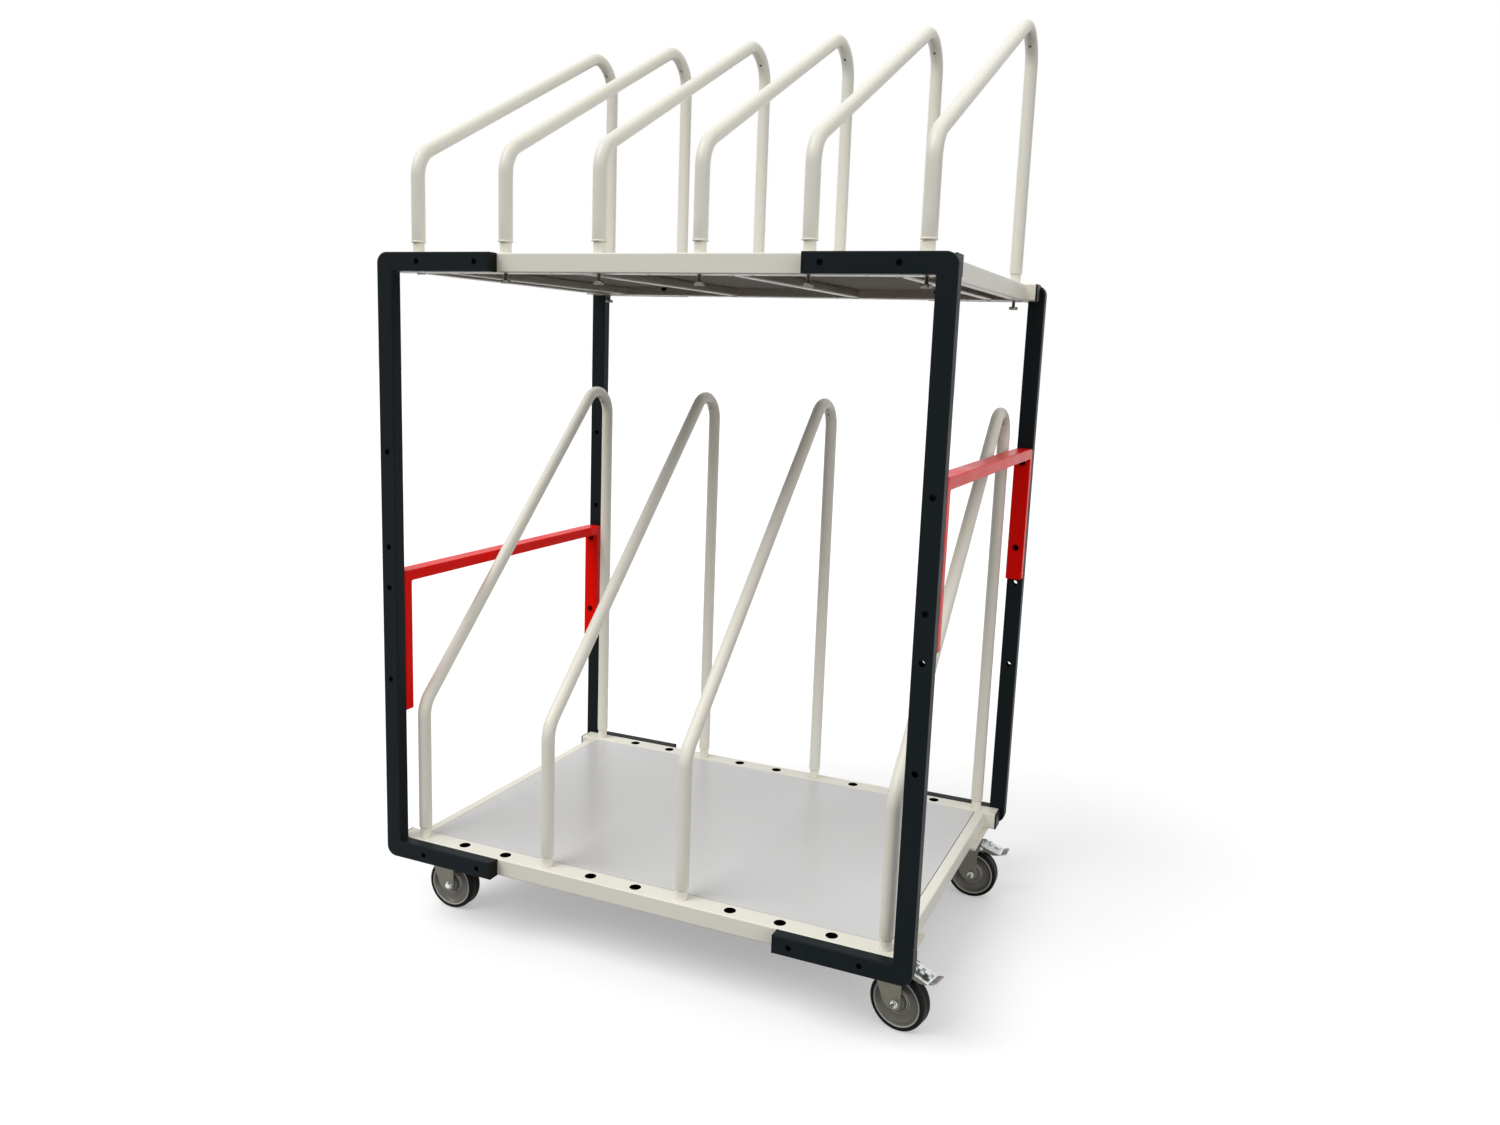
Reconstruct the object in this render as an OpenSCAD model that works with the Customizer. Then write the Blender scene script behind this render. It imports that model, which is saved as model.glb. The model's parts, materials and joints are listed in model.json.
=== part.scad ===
// Two-deck trolley for flat cartons: four C-shaped side frames, two tube decks with
// laminate panels, tube dividers in rows of sockets, two handles and four swivel casters.
// X runs along the decks, Y from the front to the back, Z up from the floor.

/* [Side frames] */
// Width over the outer faces of the posts
frame_w = 1280; // [1240:10:1500]
// Height of a side frame
frame_h = 1390; // [1340:10:1800]
// Width of a post, seen from the front
post_w = 40; // [30:1:50]
// Depth of a post and of an arm, front to back
post_d = 30; // [26:1:40]
// Wall of the side frame tube
frame_wall = 2; // [1.5:0.5:3]
// Outer corner radius of a side frame
frame_corner_r = 24; // [8:1:28]
// Radius in the inner corners of a side frame
frame_inner_r = 4; // [2:1:8]
// Length of an arm from the outer face of its post, without its cap
arm_len = 290; // [275:5:340]
// From the outer face of the post to the first hole of an arm
arm_hole_in = 107; // [95:1:115]
// From the end of an arm's tube to its last hole
arm_hole_end = 33; // [30:1:60]
// Diameter of the holes through posts and arms
frame_hole_d = 13; // [12:0.5:14]
// Spacing of the inner pair of holes in a post
post_hole_inner = 94; // [70:1:120]
// Spacing of the outer pair of holes in a post
post_hole_outer = 524; // [480:2:560]

/* [Decks] */
// Depth of a deck over its two beams
deck_d = 870; // [760:10:1000]
// Width of a beam, front to back
beam_w = 50; // [46:1:60]
// Height of a beam and of an arm of a side frame
beam_h = 40; // [36:1:50]
// Wall of the deck tubes
deck_wall = 2; // [1.5:0.5:3]
// Edge radius of the deck tubes
tube_edge_r = 3; // [2:0.5:4]
// From the outer face of a post to the end of a beam
beam_inset = 15; // [8:1:25]
// Width of a side rail
side_rail_w = 25; // [20:1:30]
// From the end of a beam to the outer face of a side rail
side_rail_inset = 28; // [20:1:32]
// Width of a cross rail under the panel
cross_rail_w = 20; // [15:1:24]
// Height of a cross rail under the panel
cross_rail_h = 20; // [15:1:20]
// From a side rail's inner face to the middle of the next cross rail
cross_rail_inset = 59; // [58:1:120]
// Thickness of a panel
panel_t = 19; // [16:1:20]
// Seam round a panel
panel_gap = 1; // [0.5:0.1:1.2]
// From the end of a beam to the middle of its last divider socket
socket_end = 55; // [50:1:70]
// Diameter of a divider socket
socket_d = 26; // [25.5:0.5:28]
// Thickness of the flange of an end cap
cap_flange = 4; // [2:0.5:6]
// Depth of the plug of an end cap inside its tube
cap_plug = 18; // [10:1:22]

/* [Dividers] */
// Outer diameter of a divider tube
divider_d = 30; // [28:0.5:34]
// Wall of a divider tube
divider_wall = 2; // [1.5:0.5:3]
// Diameter of a divider's spigots
spigot_d = 25; // [23:0.1:25.2]
// Visible height of a spigot between tube end and deck
spigot_show = 24; // [8:1:32]
// Depth of a spigot inside the tube
spigot_grip = 20; // [12:1:40]
// Diameter of the collar at the front foot of an upper divider
collar_d = 33; // [31:0.5:36]
// Height of that collar
collar_h = 3; // [2:0.5:6]
// Height of the front corner of a lower divider above its deck
lower_bend_h = 326; // [280:2:380]
// Slope of a lower divider's top run, in degrees
lower_slope = 44.2; // [38:0.2:46]
// Middle radius of a lower divider's front bend
lower_front_r = 70; // [50:1:100]
// Middle radius of a lower divider's top bend
lower_top_r = 62; // [45:1:70]
// Height of the front corner of an upper divider above its deck
upper_bend_h = 205; // [160:1:260]
// Slope of an upper divider's top run, in degrees
upper_slope = 26.8; // [15:0.2:40]
// Middle radius of an upper divider's front bend
upper_front_r = 70; // [50:1:90]
// Middle radius of an upper divider's top bend
upper_top_r = 75; // [45:1:90]
// Diameter of the vent hole in a divider's top bend
vent_d = 7; // [4:0.5:9]

/* [Handles] */
// Width of a handle tube, seen from the front
handle_w = 40; // [30:1:44]
// Thickness of a handle tube in the plane of its bends
handle_t = 25; // [18:1:30]
// Wall of a handle tube
handle_wall = 2; // [1.5:0.5:3]
// Height of a handle
handle_h = 330; // [290:5:360]
// From a handle's upper screw to its top face
handle_over = 35; // [30:1:45]
// Outer corner radius of a handle
handle_corner_r = 12; // [8:1:14]
// Diameter of the holes that let a screw into a beam or a handle
access_d = 17; // [15:0.5:18]

/* [Screws] */
// Diameter of the screws and retaining bolts
screw_d = 8; // [6:0.5:8]
// Diameter of a screw head
screw_head_d = 12.5; // [11:0.5:12.5]
// Height of a screw head
screw_head_h = 8; // [5:0.5:9]
// How deep a sleeve nut sits below the outer face of its hole
sleeve_recess = 2.5; // [1:0.5:4]
// Diameter of a retaining bolt's head
retainer_head_d = 21; // [16:0.5:24]
// Thickness of a retaining bolt's head
retainer_head_h = 7; // [4:0.5:9]
// Lift that a retaining bolt leaves an upper divider
retainer_play = 14; // [8:0.5:20]

/* [Casters] */
// Wheel diameter
wheel_d = 125; // [120:1:126]
// Width of the tyre
tyre_w = 37; // [30:1:40]
// Thickness of the tyre on its wheel
tyre_t = 8.5; // [6:0.5:12]
// Height of a caster from the floor to the top of its plate
caster_h = 160; // [158:1:170]
// Distance of the wheel axle behind the swivel axis
trail = 22; // [18:1:30]
// From the outer face of a post to the swivel axis
caster_in_x = 74; // [66:1:80]
// From the outer face of a beam to the swivel axis
caster_in_y = 101; // [90:1:130]
// Turn of the front right caster as it stands, in degrees
parked_turn = -12; // [-30:1:30]
// Width of a caster's corner plate
corner_plate_w = 86; // [84:1:96]
// Length of a caster's corner plate
corner_plate_l = 190; // [140:5:200]
// Thickness of a caster's corner plate
corner_plate_t = 5; // [4:0.5:8]
// Width of a caster's own top plate
top_plate_w = 80; // [76:1:84]
// Length of a caster's own top plate
top_plate_l = 100; // [96:1:110]
// Sheet thickness of a caster's plate and fork
fork_t = 3; // [2:0.5:4]
// Diameter of the swivel head
head_d = 72; // [66:1:74]
// Diameter of the king pin
king_pin_d = 12; // [10:0.5:14]
// Clearance between tyre side and fork leg
fork_side_gap = 4; // [3:0.5:6]
// Radius of a fork leg round the axle
fork_end_r = 14; // [13:0.5:16]
// Outer diameter of the bush on the axle
axle_bush_d = 12; // [11:0.5:16]
// Diameter of the wheel hub
hub_d = 38; // [32:1:44]
// Length of a brake pedal beyond its pivot
pedal_l = 56; // [46:1:60]
// Thickness of a brake pedal's sheet
pedal_t = 2.5; // [2:0.5:3]
// Height of a brake pedal's side skirts
skirt_h = 12; // [9:0.5:14]
// Slope of a brake pedal as it stands, in degrees
pedal_slope = 17; // [14:1:26]
// Travel of a brake pedal until its shoe holds the wheel, in degrees
pedal_press = 14; // [8:1:16]
// Diameter of a brake pedal's pivot pin
pivot_d = 6; // [4:0.5:7]

/* [Hidden] */
$fn = 64;
// Cuts run past a face by this much
over = 1;
// Radial clearance of turning fits
run_fit = 0.05;
// Gap between resting faces of pieces that move apart
rest_gap = 0.3;
// Clearance of plugs and screws in their own holes
slip_fit = 0.1;

frame_z = caster_h + corner_plate_t;
lower_z = frame_z;
upper_z = frame_z + frame_h - beam_h;
beam_len = frame_w - 2 * beam_inset;
beam_y = deck_d / 2 - beam_w / 2;
bay_d = deck_d - 2 * beam_w;
frame_y = deck_d / 2 + post_d / 2;
rail_outer_x = beam_len / 2 - side_rail_inset;
panel_w = 2 * (rail_outer_x - side_rail_w) - 2 * panel_gap;
panel_d = bay_d - 2 * panel_gap;
cross_rail_z = beam_h - panel_t - cross_rail_h;
cross_rail_out = rail_outer_x - side_rail_w - cross_rail_inset;
cross_rail_in = cross_rail_out / 3;
post_mid_x = frame_w / 2 - post_w / 2;
post_mid_z = frame_z + frame_h / 2;

socket_count = 11;
socket_pitch = (beam_len - 2 * socket_end) / (socket_count - 1);
lower_slots = [0, 3, 6, 10];
upper_slots = [0, 2, 4, 6, 8, 10];
spigot_in = beam_h - deck_wall - rest_gap;
retainer_hole_d = screw_d + 2;
seat_hole_d = screw_d + 1;
sleeve_d = frame_hole_d - 2 * run_fit;
sleeve_l = post_d - sleeve_recess;
sleeve_floor = 5;
tip_gap = 0.5;
screw_l = post_d + deck_wall - sleeve_recess - sleeve_floor - tip_gap;
key_r = 6 / sqrt(3);
key_depth = 3;
spigot_lead = 2;
head_bevel = 1;

caster_x = frame_w / 2 - caster_in_x;
caster_y = deck_d / 2 - caster_in_y;
race_h = 6;
dish_h = 9;
race_gap = 0.5;
dish_top = caster_h - fork_t - race_h - race_gap;
crown_top = dish_top - dish_h;
crown_z = crown_top - fork_t;
leg_in = tyre_w / 2 + fork_side_gap;
leg_out = leg_in + fork_t;
axle_z = wheel_d / 2;
hex_r = 7.5;
hex_h = 5.5;
thread_end = 10;
caster_screw_x = 30;
caster_screw_y = 40;
core_r = wheel_d / 2 - tyre_t;
web_ring = 3;
pedal_half_w = leg_in - 0.6;
pivot_x = head_d / 2 + 9;
pivot_z = dish_top - 11;
ear_r = pivot_d / 2 + 3.5;
toe_l = 10;
toe_turn = 45;
rib_w = 20;
rib_h = 2.5;
pin_l = 2 * leg_out + 3;

// Shoe under a pedal, whose outer edge meets the tyre when the pedal is pressed home
shoe_x = 16;
shoe_l = 12;
shoe_w = 26;
shoe_tip = shoe_x + shoe_l / 2;
pressed = pedal_slope + pedal_press;
pressed_along = [cos(pressed), -sin(pressed)];
pressed_up = [sin(pressed), cos(pressed)];
shoe_from_axle = [pivot_x - trail, pivot_z - axle_z] + shoe_tip * pressed_along;
shoe_rise = shoe_from_axle * pressed_up;
shoe_clear = pow(wheel_d / 2 + 2 * rest_gap, 2) - shoe_from_axle * shoe_from_axle;
shoe_z = sqrt(shoe_rise * shoe_rise + shoe_clear) - shoe_rise;

// The pedals stand out on the right, so the side frames stand left of the whole's middle
toe_reach = pivot_x + pedal_l * cos(pedal_slope) + (ear_r - pedal_t) * sin(pedal_slope)
    + toe_l * cos(toe_turn - pedal_slope);
turned_reach = toe_reach * cos(parked_turn) + pedal_half_w * abs(sin(parked_turn));
overhang = caster_x + max(toe_reach, turned_reach) - frame_w / 2;
frame_shift = round(overhang / 2);

cream = [0.87, 0.85, 0.79];
anthracite = [0.12, 0.14, 0.15];
signal_red = [0.83, 0.07, 0.06];
panel_grey = [0.80, 0.80, 0.82];
zinc = [0.72, 0.73, 0.74];
black = [0.05, 0.05, 0.05];
wheel_grey = [0.31, 0.31, 0.29];

// Moves the whole so that its origin lies midway along it
module placed() {
    translate([-frame_shift, 0, 0])
        children();
}

// Rectangle with rounded corners, centred
module round_rect(w, h, r) {
    square([w - 2 * r, h], center = true);
    square([w, h - 2 * r], center = true);
    for (sx = [-1, 1], sy = [-1, 1])
        translate([sx * (w / 2 - r), sy * (h / 2 - r)])
            circle(r);
}

// Rectangle from the origin with its two corners at x = 0 rounded
module left_round_rect(w, h, r) {
    translate([r, 0])
        square([w - r, h]);
    translate([0, r])
        square([w, h - 2 * r]);
    for (y = [r, h - r])
        translate([r, y])
            circle(r);
}

// Rectangular tube along X, centred
module tube_x(len, w, h) {
    rotate([90, 0, 90])
        linear_extrude(len, center = true)
            difference() {
                round_rect(w, h, tube_edge_r);
                round_rect(w - 2 * deck_wall, h - 2 * deck_wall, tube_edge_r - deck_wall / 2);
            }
}

// Rectangular tube along Y, centred
module tube_y(len, w, h) {
    rotate([0, 0, 90])
        tube_x(len, w, h);
}

// Cylinder along Y from its start
module rod_y(d, len) {
    rotate([-90, 0, 0])
        cylinder(d = d, h = len);
}

// C outline of a side frame, drawn in from its faces by inset
module c_outline(inset, reach) {
    difference() {
        translate([inset, inset])
            left_round_rect(reach - inset, frame_h - 2 * inset, frame_corner_r - inset);
        translate([post_w - inset, beam_h - inset])
            left_round_rect(reach + over, frame_h - 2 * (beam_h - inset), frame_inner_r + inset);
    }
}

// Places a part drawn for the front left corner at side sx and end sy
module at_corner(sx, sy) {
    mirror([sx > 0 ? 1 : 0, 0, 0])
        mirror([0, sy > 0 ? 1 : 0, 0])
            children();
}

function post_holes() =
    [for (s = [-1, 1], gap = [post_hole_inner, post_hole_outer]) frame_h / 2 + s * gap / 2];
function arm_holes() = [arm_hole_in, arm_len - arm_hole_end];

module side_frame(sx, sy) {
    color(anthracite)
        at_corner(sx, sy)
            translate([-frame_w / 2, -frame_y, frame_z])
                difference() {
                    rotate([90, 0, 0])
                        linear_extrude(post_d, center = true)
                            c_outline(0, arm_len);
                    rotate([90, 0, 0])
                        linear_extrude(post_d - 2 * frame_wall, center = true)
                            c_outline(frame_wall, arm_len + over);
                    for (z = post_holes())
                        translate([post_w / 2, -post_d / 2 - over, z])
                            rod_y(frame_hole_d, post_d + 2 * over);
                    for (x = arm_holes(), z = [beam_h / 2, frame_h - beam_h / 2])
                        translate([x, -post_d / 2 - over, z])
                            rod_y(frame_hole_d, post_d + 2 * over);
                }
}

// End cap for a tube along X whose end faces +X at the origin
module end_cap(w, h, wall) {
    bevel = cap_flange / 3;
    intersection() {
        translate([0, -w / 2, -h / 2])
            cube([cap_flange, w, h]);
        rotate([90, 0, 0])
            linear_extrude(w, center = true)
                polygon([[0, -h / 2], [cap_flange - bevel, -h / 2], [cap_flange, bevel - h / 2],
                    [cap_flange, h / 2 - bevel], [cap_flange - bevel, h / 2], [0, h / 2]]);
        linear_extrude(h, center = true)
            polygon([[0, -w / 2], [cap_flange - bevel, -w / 2], [cap_flange, bevel - w / 2],
                [cap_flange, w / 2 - bevel], [cap_flange - bevel, w / 2], [0, w / 2]]);
    }
    plug_w = w - 2 * wall - 2 * slip_fit;
    plug_h = h - 2 * wall - 2 * slip_fit;
    rotate([90, 0, 90])
        translate([0, 0, -cap_plug])
            linear_extrude(cap_plug)
                round_rect(plug_w, plug_h, tube_edge_r);
}

module arm_caps() {
    color(black)
        for (sx = [-1, 1], sy = [-1, 1], z = [beam_h / 2, frame_h - beam_h / 2])
            at_corner(sx, sy)
                translate([-frame_w / 2 + arm_len, -frame_y, frame_z + z])
                    end_cap(post_d, beam_h, frame_wall);
}

module beam_caps() {
    color(black)
        for (sx = [-1, 1], sy = [-1, 1], z = [lower_z, upper_z])
            translate([sx * beam_len / 2, sy * beam_y, z + beam_h / 2])
                mirror([sx < 0 ? 1 : 0, 0, 0])
                    end_cap(beam_w, beam_h, deck_wall);
}

function socket_x(i) = (i - (socket_count - 1) / 2) * socket_pitch;

// Beam with its row of sockets; its outer side faces sy
module beam(sy, z) {
    color(cream)
        translate([0, sy * beam_y, z + beam_h / 2])
            mirror([0, sy > 0 ? 1 : 0, 0])
                difference() {
                    tube_x(beam_len, beam_w, beam_h);
                    for (i = [0 : socket_count - 1])
                        translate([socket_x(i), 0, 0]) {
                            cylinder(d = socket_d, h = beam_h);
                            translate([0, 0, -beam_h])
                                cylinder(d = retainer_hole_d, h = beam_h);
                        }
                    for (sx = [-1, 1], x = arm_holes())
                        translate([sx * (frame_w / 2 - x), 0, 0]) {
                            translate([0, -beam_w, 0])
                                rod_y(seat_hole_d, beam_w);
                            rod_y(access_d, beam_w);
                        }
                }
}

module side_rails(z) {
    color(cream)
        for (sx = [-1, 1])
            translate([sx * (rail_outer_x - side_rail_w / 2), 0, z + beam_h / 2])
                tube_y(bay_d, side_rail_w, beam_h);
}

module cross_rails(z) {
    color(cream)
        for (x = [-cross_rail_out, -cross_rail_in, cross_rail_in, cross_rail_out])
            translate([x, 0, z + cross_rail_z + cross_rail_h / 2])
                tube_y(bay_d, cross_rail_w, cross_rail_h);
}

module panel(z) {
    color(panel_grey)
        translate([-panel_w / 2, -panel_d / 2, z + beam_h - panel_t])
            cube([panel_w, panel_d, panel_t]);
}

module corner_plates() {
    color(cream)
        for (sx = [-1, 1], sy = [-1, 1])
            translate([sx * caster_x, sy * caster_y, caster_h])
                difference() {
                    linear_extrude(corner_plate_t)
                        round_rect(corner_plate_w, corner_plate_l, corner_plate_t);
                    caster_screw_places()
                        translate([0, 0, -over])
                            cylinder(d = screw_d + 2 * slip_fit, h = corner_plate_t + 2 * over);
                }
}

// Cross-section of a divider tube
module divider_ring() {
    difference() {
        circle(d = divider_d);
        circle(d = divider_d - 2 * divider_wall);
    }
}

// Straight run of a divider in its own plane, from point p along angle a, seam towards seam
module divider_run(p, a, len, seam) {
    translate([0, p[0], p[1]])
        rotate([a - 90, 0, 0])
            linear_extrude(len)
                rotate(seam)
                    divider_ring();
}

// Bend of a divider about point c, from angle a on through sweep
module divider_bend(c, a, sweep, r) {
    translate([0, c[0], c[1]])
        rotate([90, 0, 90])
            rotate([0, 0, a])
                rotate_extrude(angle = sweep)
                    translate([r, 0])
                        divider_ring();
}

// Foot of a divider leg: plug in the tube's end, collar where it has one, and spigot in the
// socket, bored for a bolt
module divider_foot(y, collar) {
    translate([0, y, 0])
        difference() {
            union() {
                translate([0, 0, spigot_show]) {
                    cylinder(d = divider_d, h = spigot_grip);
                    if (collar > 0)
                        cylinder(d = collar, h = collar_h);
                }
                translate([0, 0, spigot_lead - spigot_in])
                    cylinder(d = spigot_d, h = spigot_in - spigot_lead + spigot_show);
                translate([0, 0, -spigot_in])
                    cylinder(d1 = spigot_d - 2 * spigot_lead, d2 = spigot_d, h = spigot_lead);
            }
            translate([0, 0, -spigot_in - over])
                cylinder(d = screw_d + 2 * slip_fit, h = spigot_in + over);
        }
}

// Divider in socket number slot of the deck at height z
module divider(slot, z, bend_h, slope, front_r, top_r, front_collar = 0) {
    front_t = front_r * tan((90 - slope) / 2);
    top_t = top_r * tan((90 + slope) / 2);
    run = 2 * beam_y / cos(slope);
    peak_h = bend_h + 2 * beam_y * tan(slope);
    rise = [cos(slope), sin(slope)];
    foot_h = spigot_show + spigot_grip;
    color(cream)
        translate([socket_x(slot), 0, z + beam_h]) {
            divider_foot(-beam_y, front_collar);
            divider_foot(beam_y, 0);
            divider_run([-beam_y, foot_h], 90, bend_h - front_t - foot_h, -90);
            divider_bend([-beam_y + front_r, bend_h - front_t], 90 + slope, 90 - slope, front_r);
            divider_run([-beam_y, bend_h] + front_t * rise, slope, run - front_t - top_t, -90);
            difference() {
                divider_bend([beam_y - top_r, peak_h - top_t], 0, 90 + slope, top_r);
                translate([0, beam_y - top_r, peak_h - top_t])
                    rotate([-45, 0, 0])
                        cylinder(d = vent_d, h = top_r);
            }
            divider_run([beam_y, foot_h], 90, peak_h - top_t - foot_h, 90);
        }
}

module lower_divider(slot) {
    divider(slot, lower_z, lower_bend_h, lower_slope, lower_front_r, lower_top_r);
}

module upper_divider(slot) {
    divider(slot, upper_z, upper_bend_h, upper_slope, upper_front_r, upper_top_r, collar_d);
}

// Head of a retaining bolt, bevelled above and below
module bevelled_head() {
    small_d = retainer_head_d - 2 * head_bevel;
    cylinder(d1 = small_d, d2 = retainer_head_d, h = head_bevel);
    translate([0, 0, head_bevel])
        cylinder(d = retainer_head_d, h = retainer_head_h - 2 * head_bevel);
    translate([0, 0, retainer_head_h - head_bevel])
        cylinder(d1 = retainer_head_d, d2 = small_d, h = head_bevel);
}

// Bolts that keep an upper divider from lifting out, under its feet on the given sides
module retaining_bolts(slot, sides) {
    color(zinc)
        for (sy = sides)
            translate([socket_x(slot), sy * beam_y, upper_z - retainer_play]) {
                translate([0, 0, -retainer_head_h])
                    bevelled_head();
                cylinder(d = screw_d, h = retainer_play + beam_h - over);
            }
}

// U outline of a handle, drawn in from its faces by inset
module handle_outline(inset) {
    difference() {
        translate([0, -inset])
            rotate([0, 0, -90])
                translate([0, -deck_d / 2 + inset])
                    left_round_rect(handle_h - 2 * inset, deck_d - 2 * inset,
                        handle_corner_r - inset);
        translate([0, -handle_t + inset])
            rotate([0, 0, -90])
                translate([0, -deck_d / 2 + handle_t - inset])
                    left_round_rect(handle_h, deck_d - 2 * (handle_t - inset),
                        frame_inner_r + inset);
    }
}

// Handle on side sx whose upper screws are at height z above the frame's foot
module handle(sx, z) {
    drop = post_hole_outer / 2 - post_hole_inner / 2;
    color(signal_red)
        translate([sx * post_mid_x, 0, frame_z + z + handle_over])
            difference() {
                rotate([90, 0, 90])
                    linear_extrude(handle_w, center = true)
                        handle_outline(0);
                rotate([90, 0, 90])
                    linear_extrude(handle_w - 2 * handle_wall, center = true)
                        handle_outline(handle_wall);
                for (h = [-handle_over, -handle_over - drop], sy = [-1, 1])
                    mirror([0, sy > 0 ? 1 : 0, 0])
                        translate([0, -deck_d / 2, h]) {
                            translate([0, -over, 0])
                                rod_y(seat_hole_d, handle_t / 2 + over);
                            translate([0, handle_t / 2, 0])
                                rod_y(access_d, handle_t / 2 + over);
                        }
            }
}

// Six-sided key socket along Y that is open at y = 0 and goes in to +Y
module key_socket() {
    translate([0, -over, 0])
        rotate([-90, 0, 0])
            cylinder(r = key_r, h = key_depth + over, $fn = 6);
}

// Cap screw along Y: the underside of its head is at y = 0 and it points to -Y
module cap_screw() {
    difference() {
        rod_y(screw_head_d, screw_head_h);
        translate([0, screw_head_h, 0])
            mirror([0, 1, 0])
                key_socket();
    }
    translate([0, -screw_l, 0])
        rod_y(screw_d, screw_l);
}

// Sleeve nut along Y with its closed end at y = 0 and its mouth at sleeve_l
module sleeve_nut() {
    difference() {
        rod_y(sleeve_d, sleeve_l);
        translate([0, sleeve_floor, 0])
            rod_y(screw_d + 2 * slip_fit, sleeve_l);
        key_socket();
    }
}

// Children at each hole that holds a sleeve nut, drawn at the outer face of the frame
module sleeved_holes() {
    for (sx = [-1, 1], sy = [-1, 1])
        at_corner(sx, sy)
            translate([-frame_w / 2, -deck_d / 2 - post_d, frame_z]) {
                for (x = arm_holes(), z = [beam_h / 2, frame_h - beam_h / 2])
                    translate([x, 0, z])
                        children();
                pair = sx < 0 ? -1 : 1;
                for (gap = [post_hole_inner, post_hole_outer])
                    translate([post_w / 2, 0, frame_h / 2 + pair * gap / 2])
                        children();
            }
}

module sleeve_nuts() {
    color(black)
        sleeved_holes()
            translate([0, sleeve_recess, 0])
                sleeve_nut();
}

module cap_screws() {
    color(black)
        sleeved_holes()
            translate([0, post_d + deck_wall, 0])
                cap_screw();
}

// Children at the four screw places of a caster plate
module caster_screw_places() {
    for (x = [-caster_screw_x, caster_screw_x], y = [-caster_screw_y, caster_screw_y])
        translate([x, y, 0])
            children();
}

module caster_screws() {
    color(zinc)
        for (sx = [-1, 1], sy = [-1, 1])
            translate([sx * caster_x, sy * caster_y, caster_h])
                caster_screw_places() {
                    translate([0, 0, -fork_t - hex_h])
                        cylinder(r = hex_r, h = hex_h, $fn = 6);
                    translate([0, 0, -fork_t])
                        cylinder(d = screw_d, h = fork_t + corner_plate_t);
                }
}

// Fixed plate of a caster with its race and king pin
module caster_plates() {
    pin_h = caster_h - crown_z + rest_gap;
    color(zinc)
        for (sx = [-1, 1], sy = [-1, 1])
            translate([sx * caster_x, sy * caster_y, 0]) {
                translate([0, 0, caster_h - fork_t])
                    difference() {
                        linear_extrude(fork_t)
                            round_rect(top_plate_w, top_plate_l, fork_t * 2);
                        caster_screw_places()
                            translate([0, 0, -over])
                                cylinder(d = screw_d + 2 * slip_fit, h = fork_t + 2 * over);
                    }
                translate([0, 0, caster_h - fork_t - race_h])
                    cylinder(d1 = head_d - 4 * race_h + over, d2 = head_d - 2 * race_h, h = race_h);
                translate([0, 0, caster_h - pin_h])
                    cylinder(d = king_pin_d, h = pin_h);
                translate([0, 0, crown_z - rest_gap - fork_t])
                    cylinder(d1 = king_pin_d + 2, d2 = king_pin_d + 8, h = fork_t);
            }
}

function tangent_angle(p, c, r) =
    atan2(c[1] - p[1], c[0] - p[0]) - asin(r / norm(c - p));
function tangent_point(p, c, r) =
    p + sqrt(pow(norm(c - p), 2) - r * r)
        * [cos(tangent_angle(p, c, r)), sin(tangent_angle(p, c, r))];

// Outline of a fork leg in X and Z: slanted in front, upright behind, round at the axle
module leg_outline(braked) {
    axle = [trail, axle_z];
    shoulder = [-head_d / 2, crown_z - fork_t];
    polygon([[-head_d / 2, crown_top], [trail + fork_end_r, crown_top],
        [trail + fork_end_r, axle_z], axle, tangent_point(shoulder, axle, fork_end_r), shoulder]);
    translate(axle)
        circle(fork_end_r);
    if (braked) {
        translate([pivot_x, pivot_z])
            circle(ear_r);
        polygon([[trail, crown_top], [pivot_x, pivot_z + ear_r],
            [pivot_x + ear_r, pivot_z], [pivot_x, pivot_z - ear_r],
            [trail + fork_end_r, crown_z - skirt_h], [trail, crown_z - skirt_h]]);
    }
}

module fork_solid(braked) {
    crown_reach = braked ? pivot_x - ear_r - over : trail + fork_end_r;
    difference() {
        union() {
            for (sy = [-1, 1])
                translate([0, sy * (leg_in + fork_t / 2), 0])
                    rotate([90, 0, 0])
                        linear_extrude(fork_t, center = true)
                            leg_outline(braked);
            translate([0, 0, crown_z])
                linear_extrude(fork_t)
                    intersection() {
                        union() {
                            circle(d = head_d);
                            translate([0, -leg_in])
                                square([crown_reach, 2 * leg_in]);
                        }
                        translate([-head_d / 2, -head_d / 2])
                            square([head_d / 2 + crown_reach, head_d]);
                    }
            translate([0, 0, crown_top])
                cylinder(d1 = head_d, d2 = head_d - 2 * over, h = dish_h);
        }
        translate([0, 0, crown_z - over])
            cylinder(d = king_pin_d + 2 * run_fit, h = fork_t + dish_h + 2 * over);
        translate([trail, -leg_out - over, axle_z])
            rod_y(screw_d + 2 * slip_fit, 2 * leg_out + 2 * over);
        translate([pivot_x, -leg_out - over, pivot_z])
            rod_y(pivot_d + 2 * run_fit, 2 * leg_out + 2 * over);
    }
}

// Children at a caster's place and turn
module at_caster(sx, sy) {
    translate([sx * caster_x, sy * caster_y, 0])
        rotate([0, 0, sx > 0 && sy < 0 ? parked_turn : 0])
            children();
}

module fork(sx, sy) {
    color(zinc)
        at_caster(sx, sy)
            fork_solid(sx > 0);
}

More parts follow.
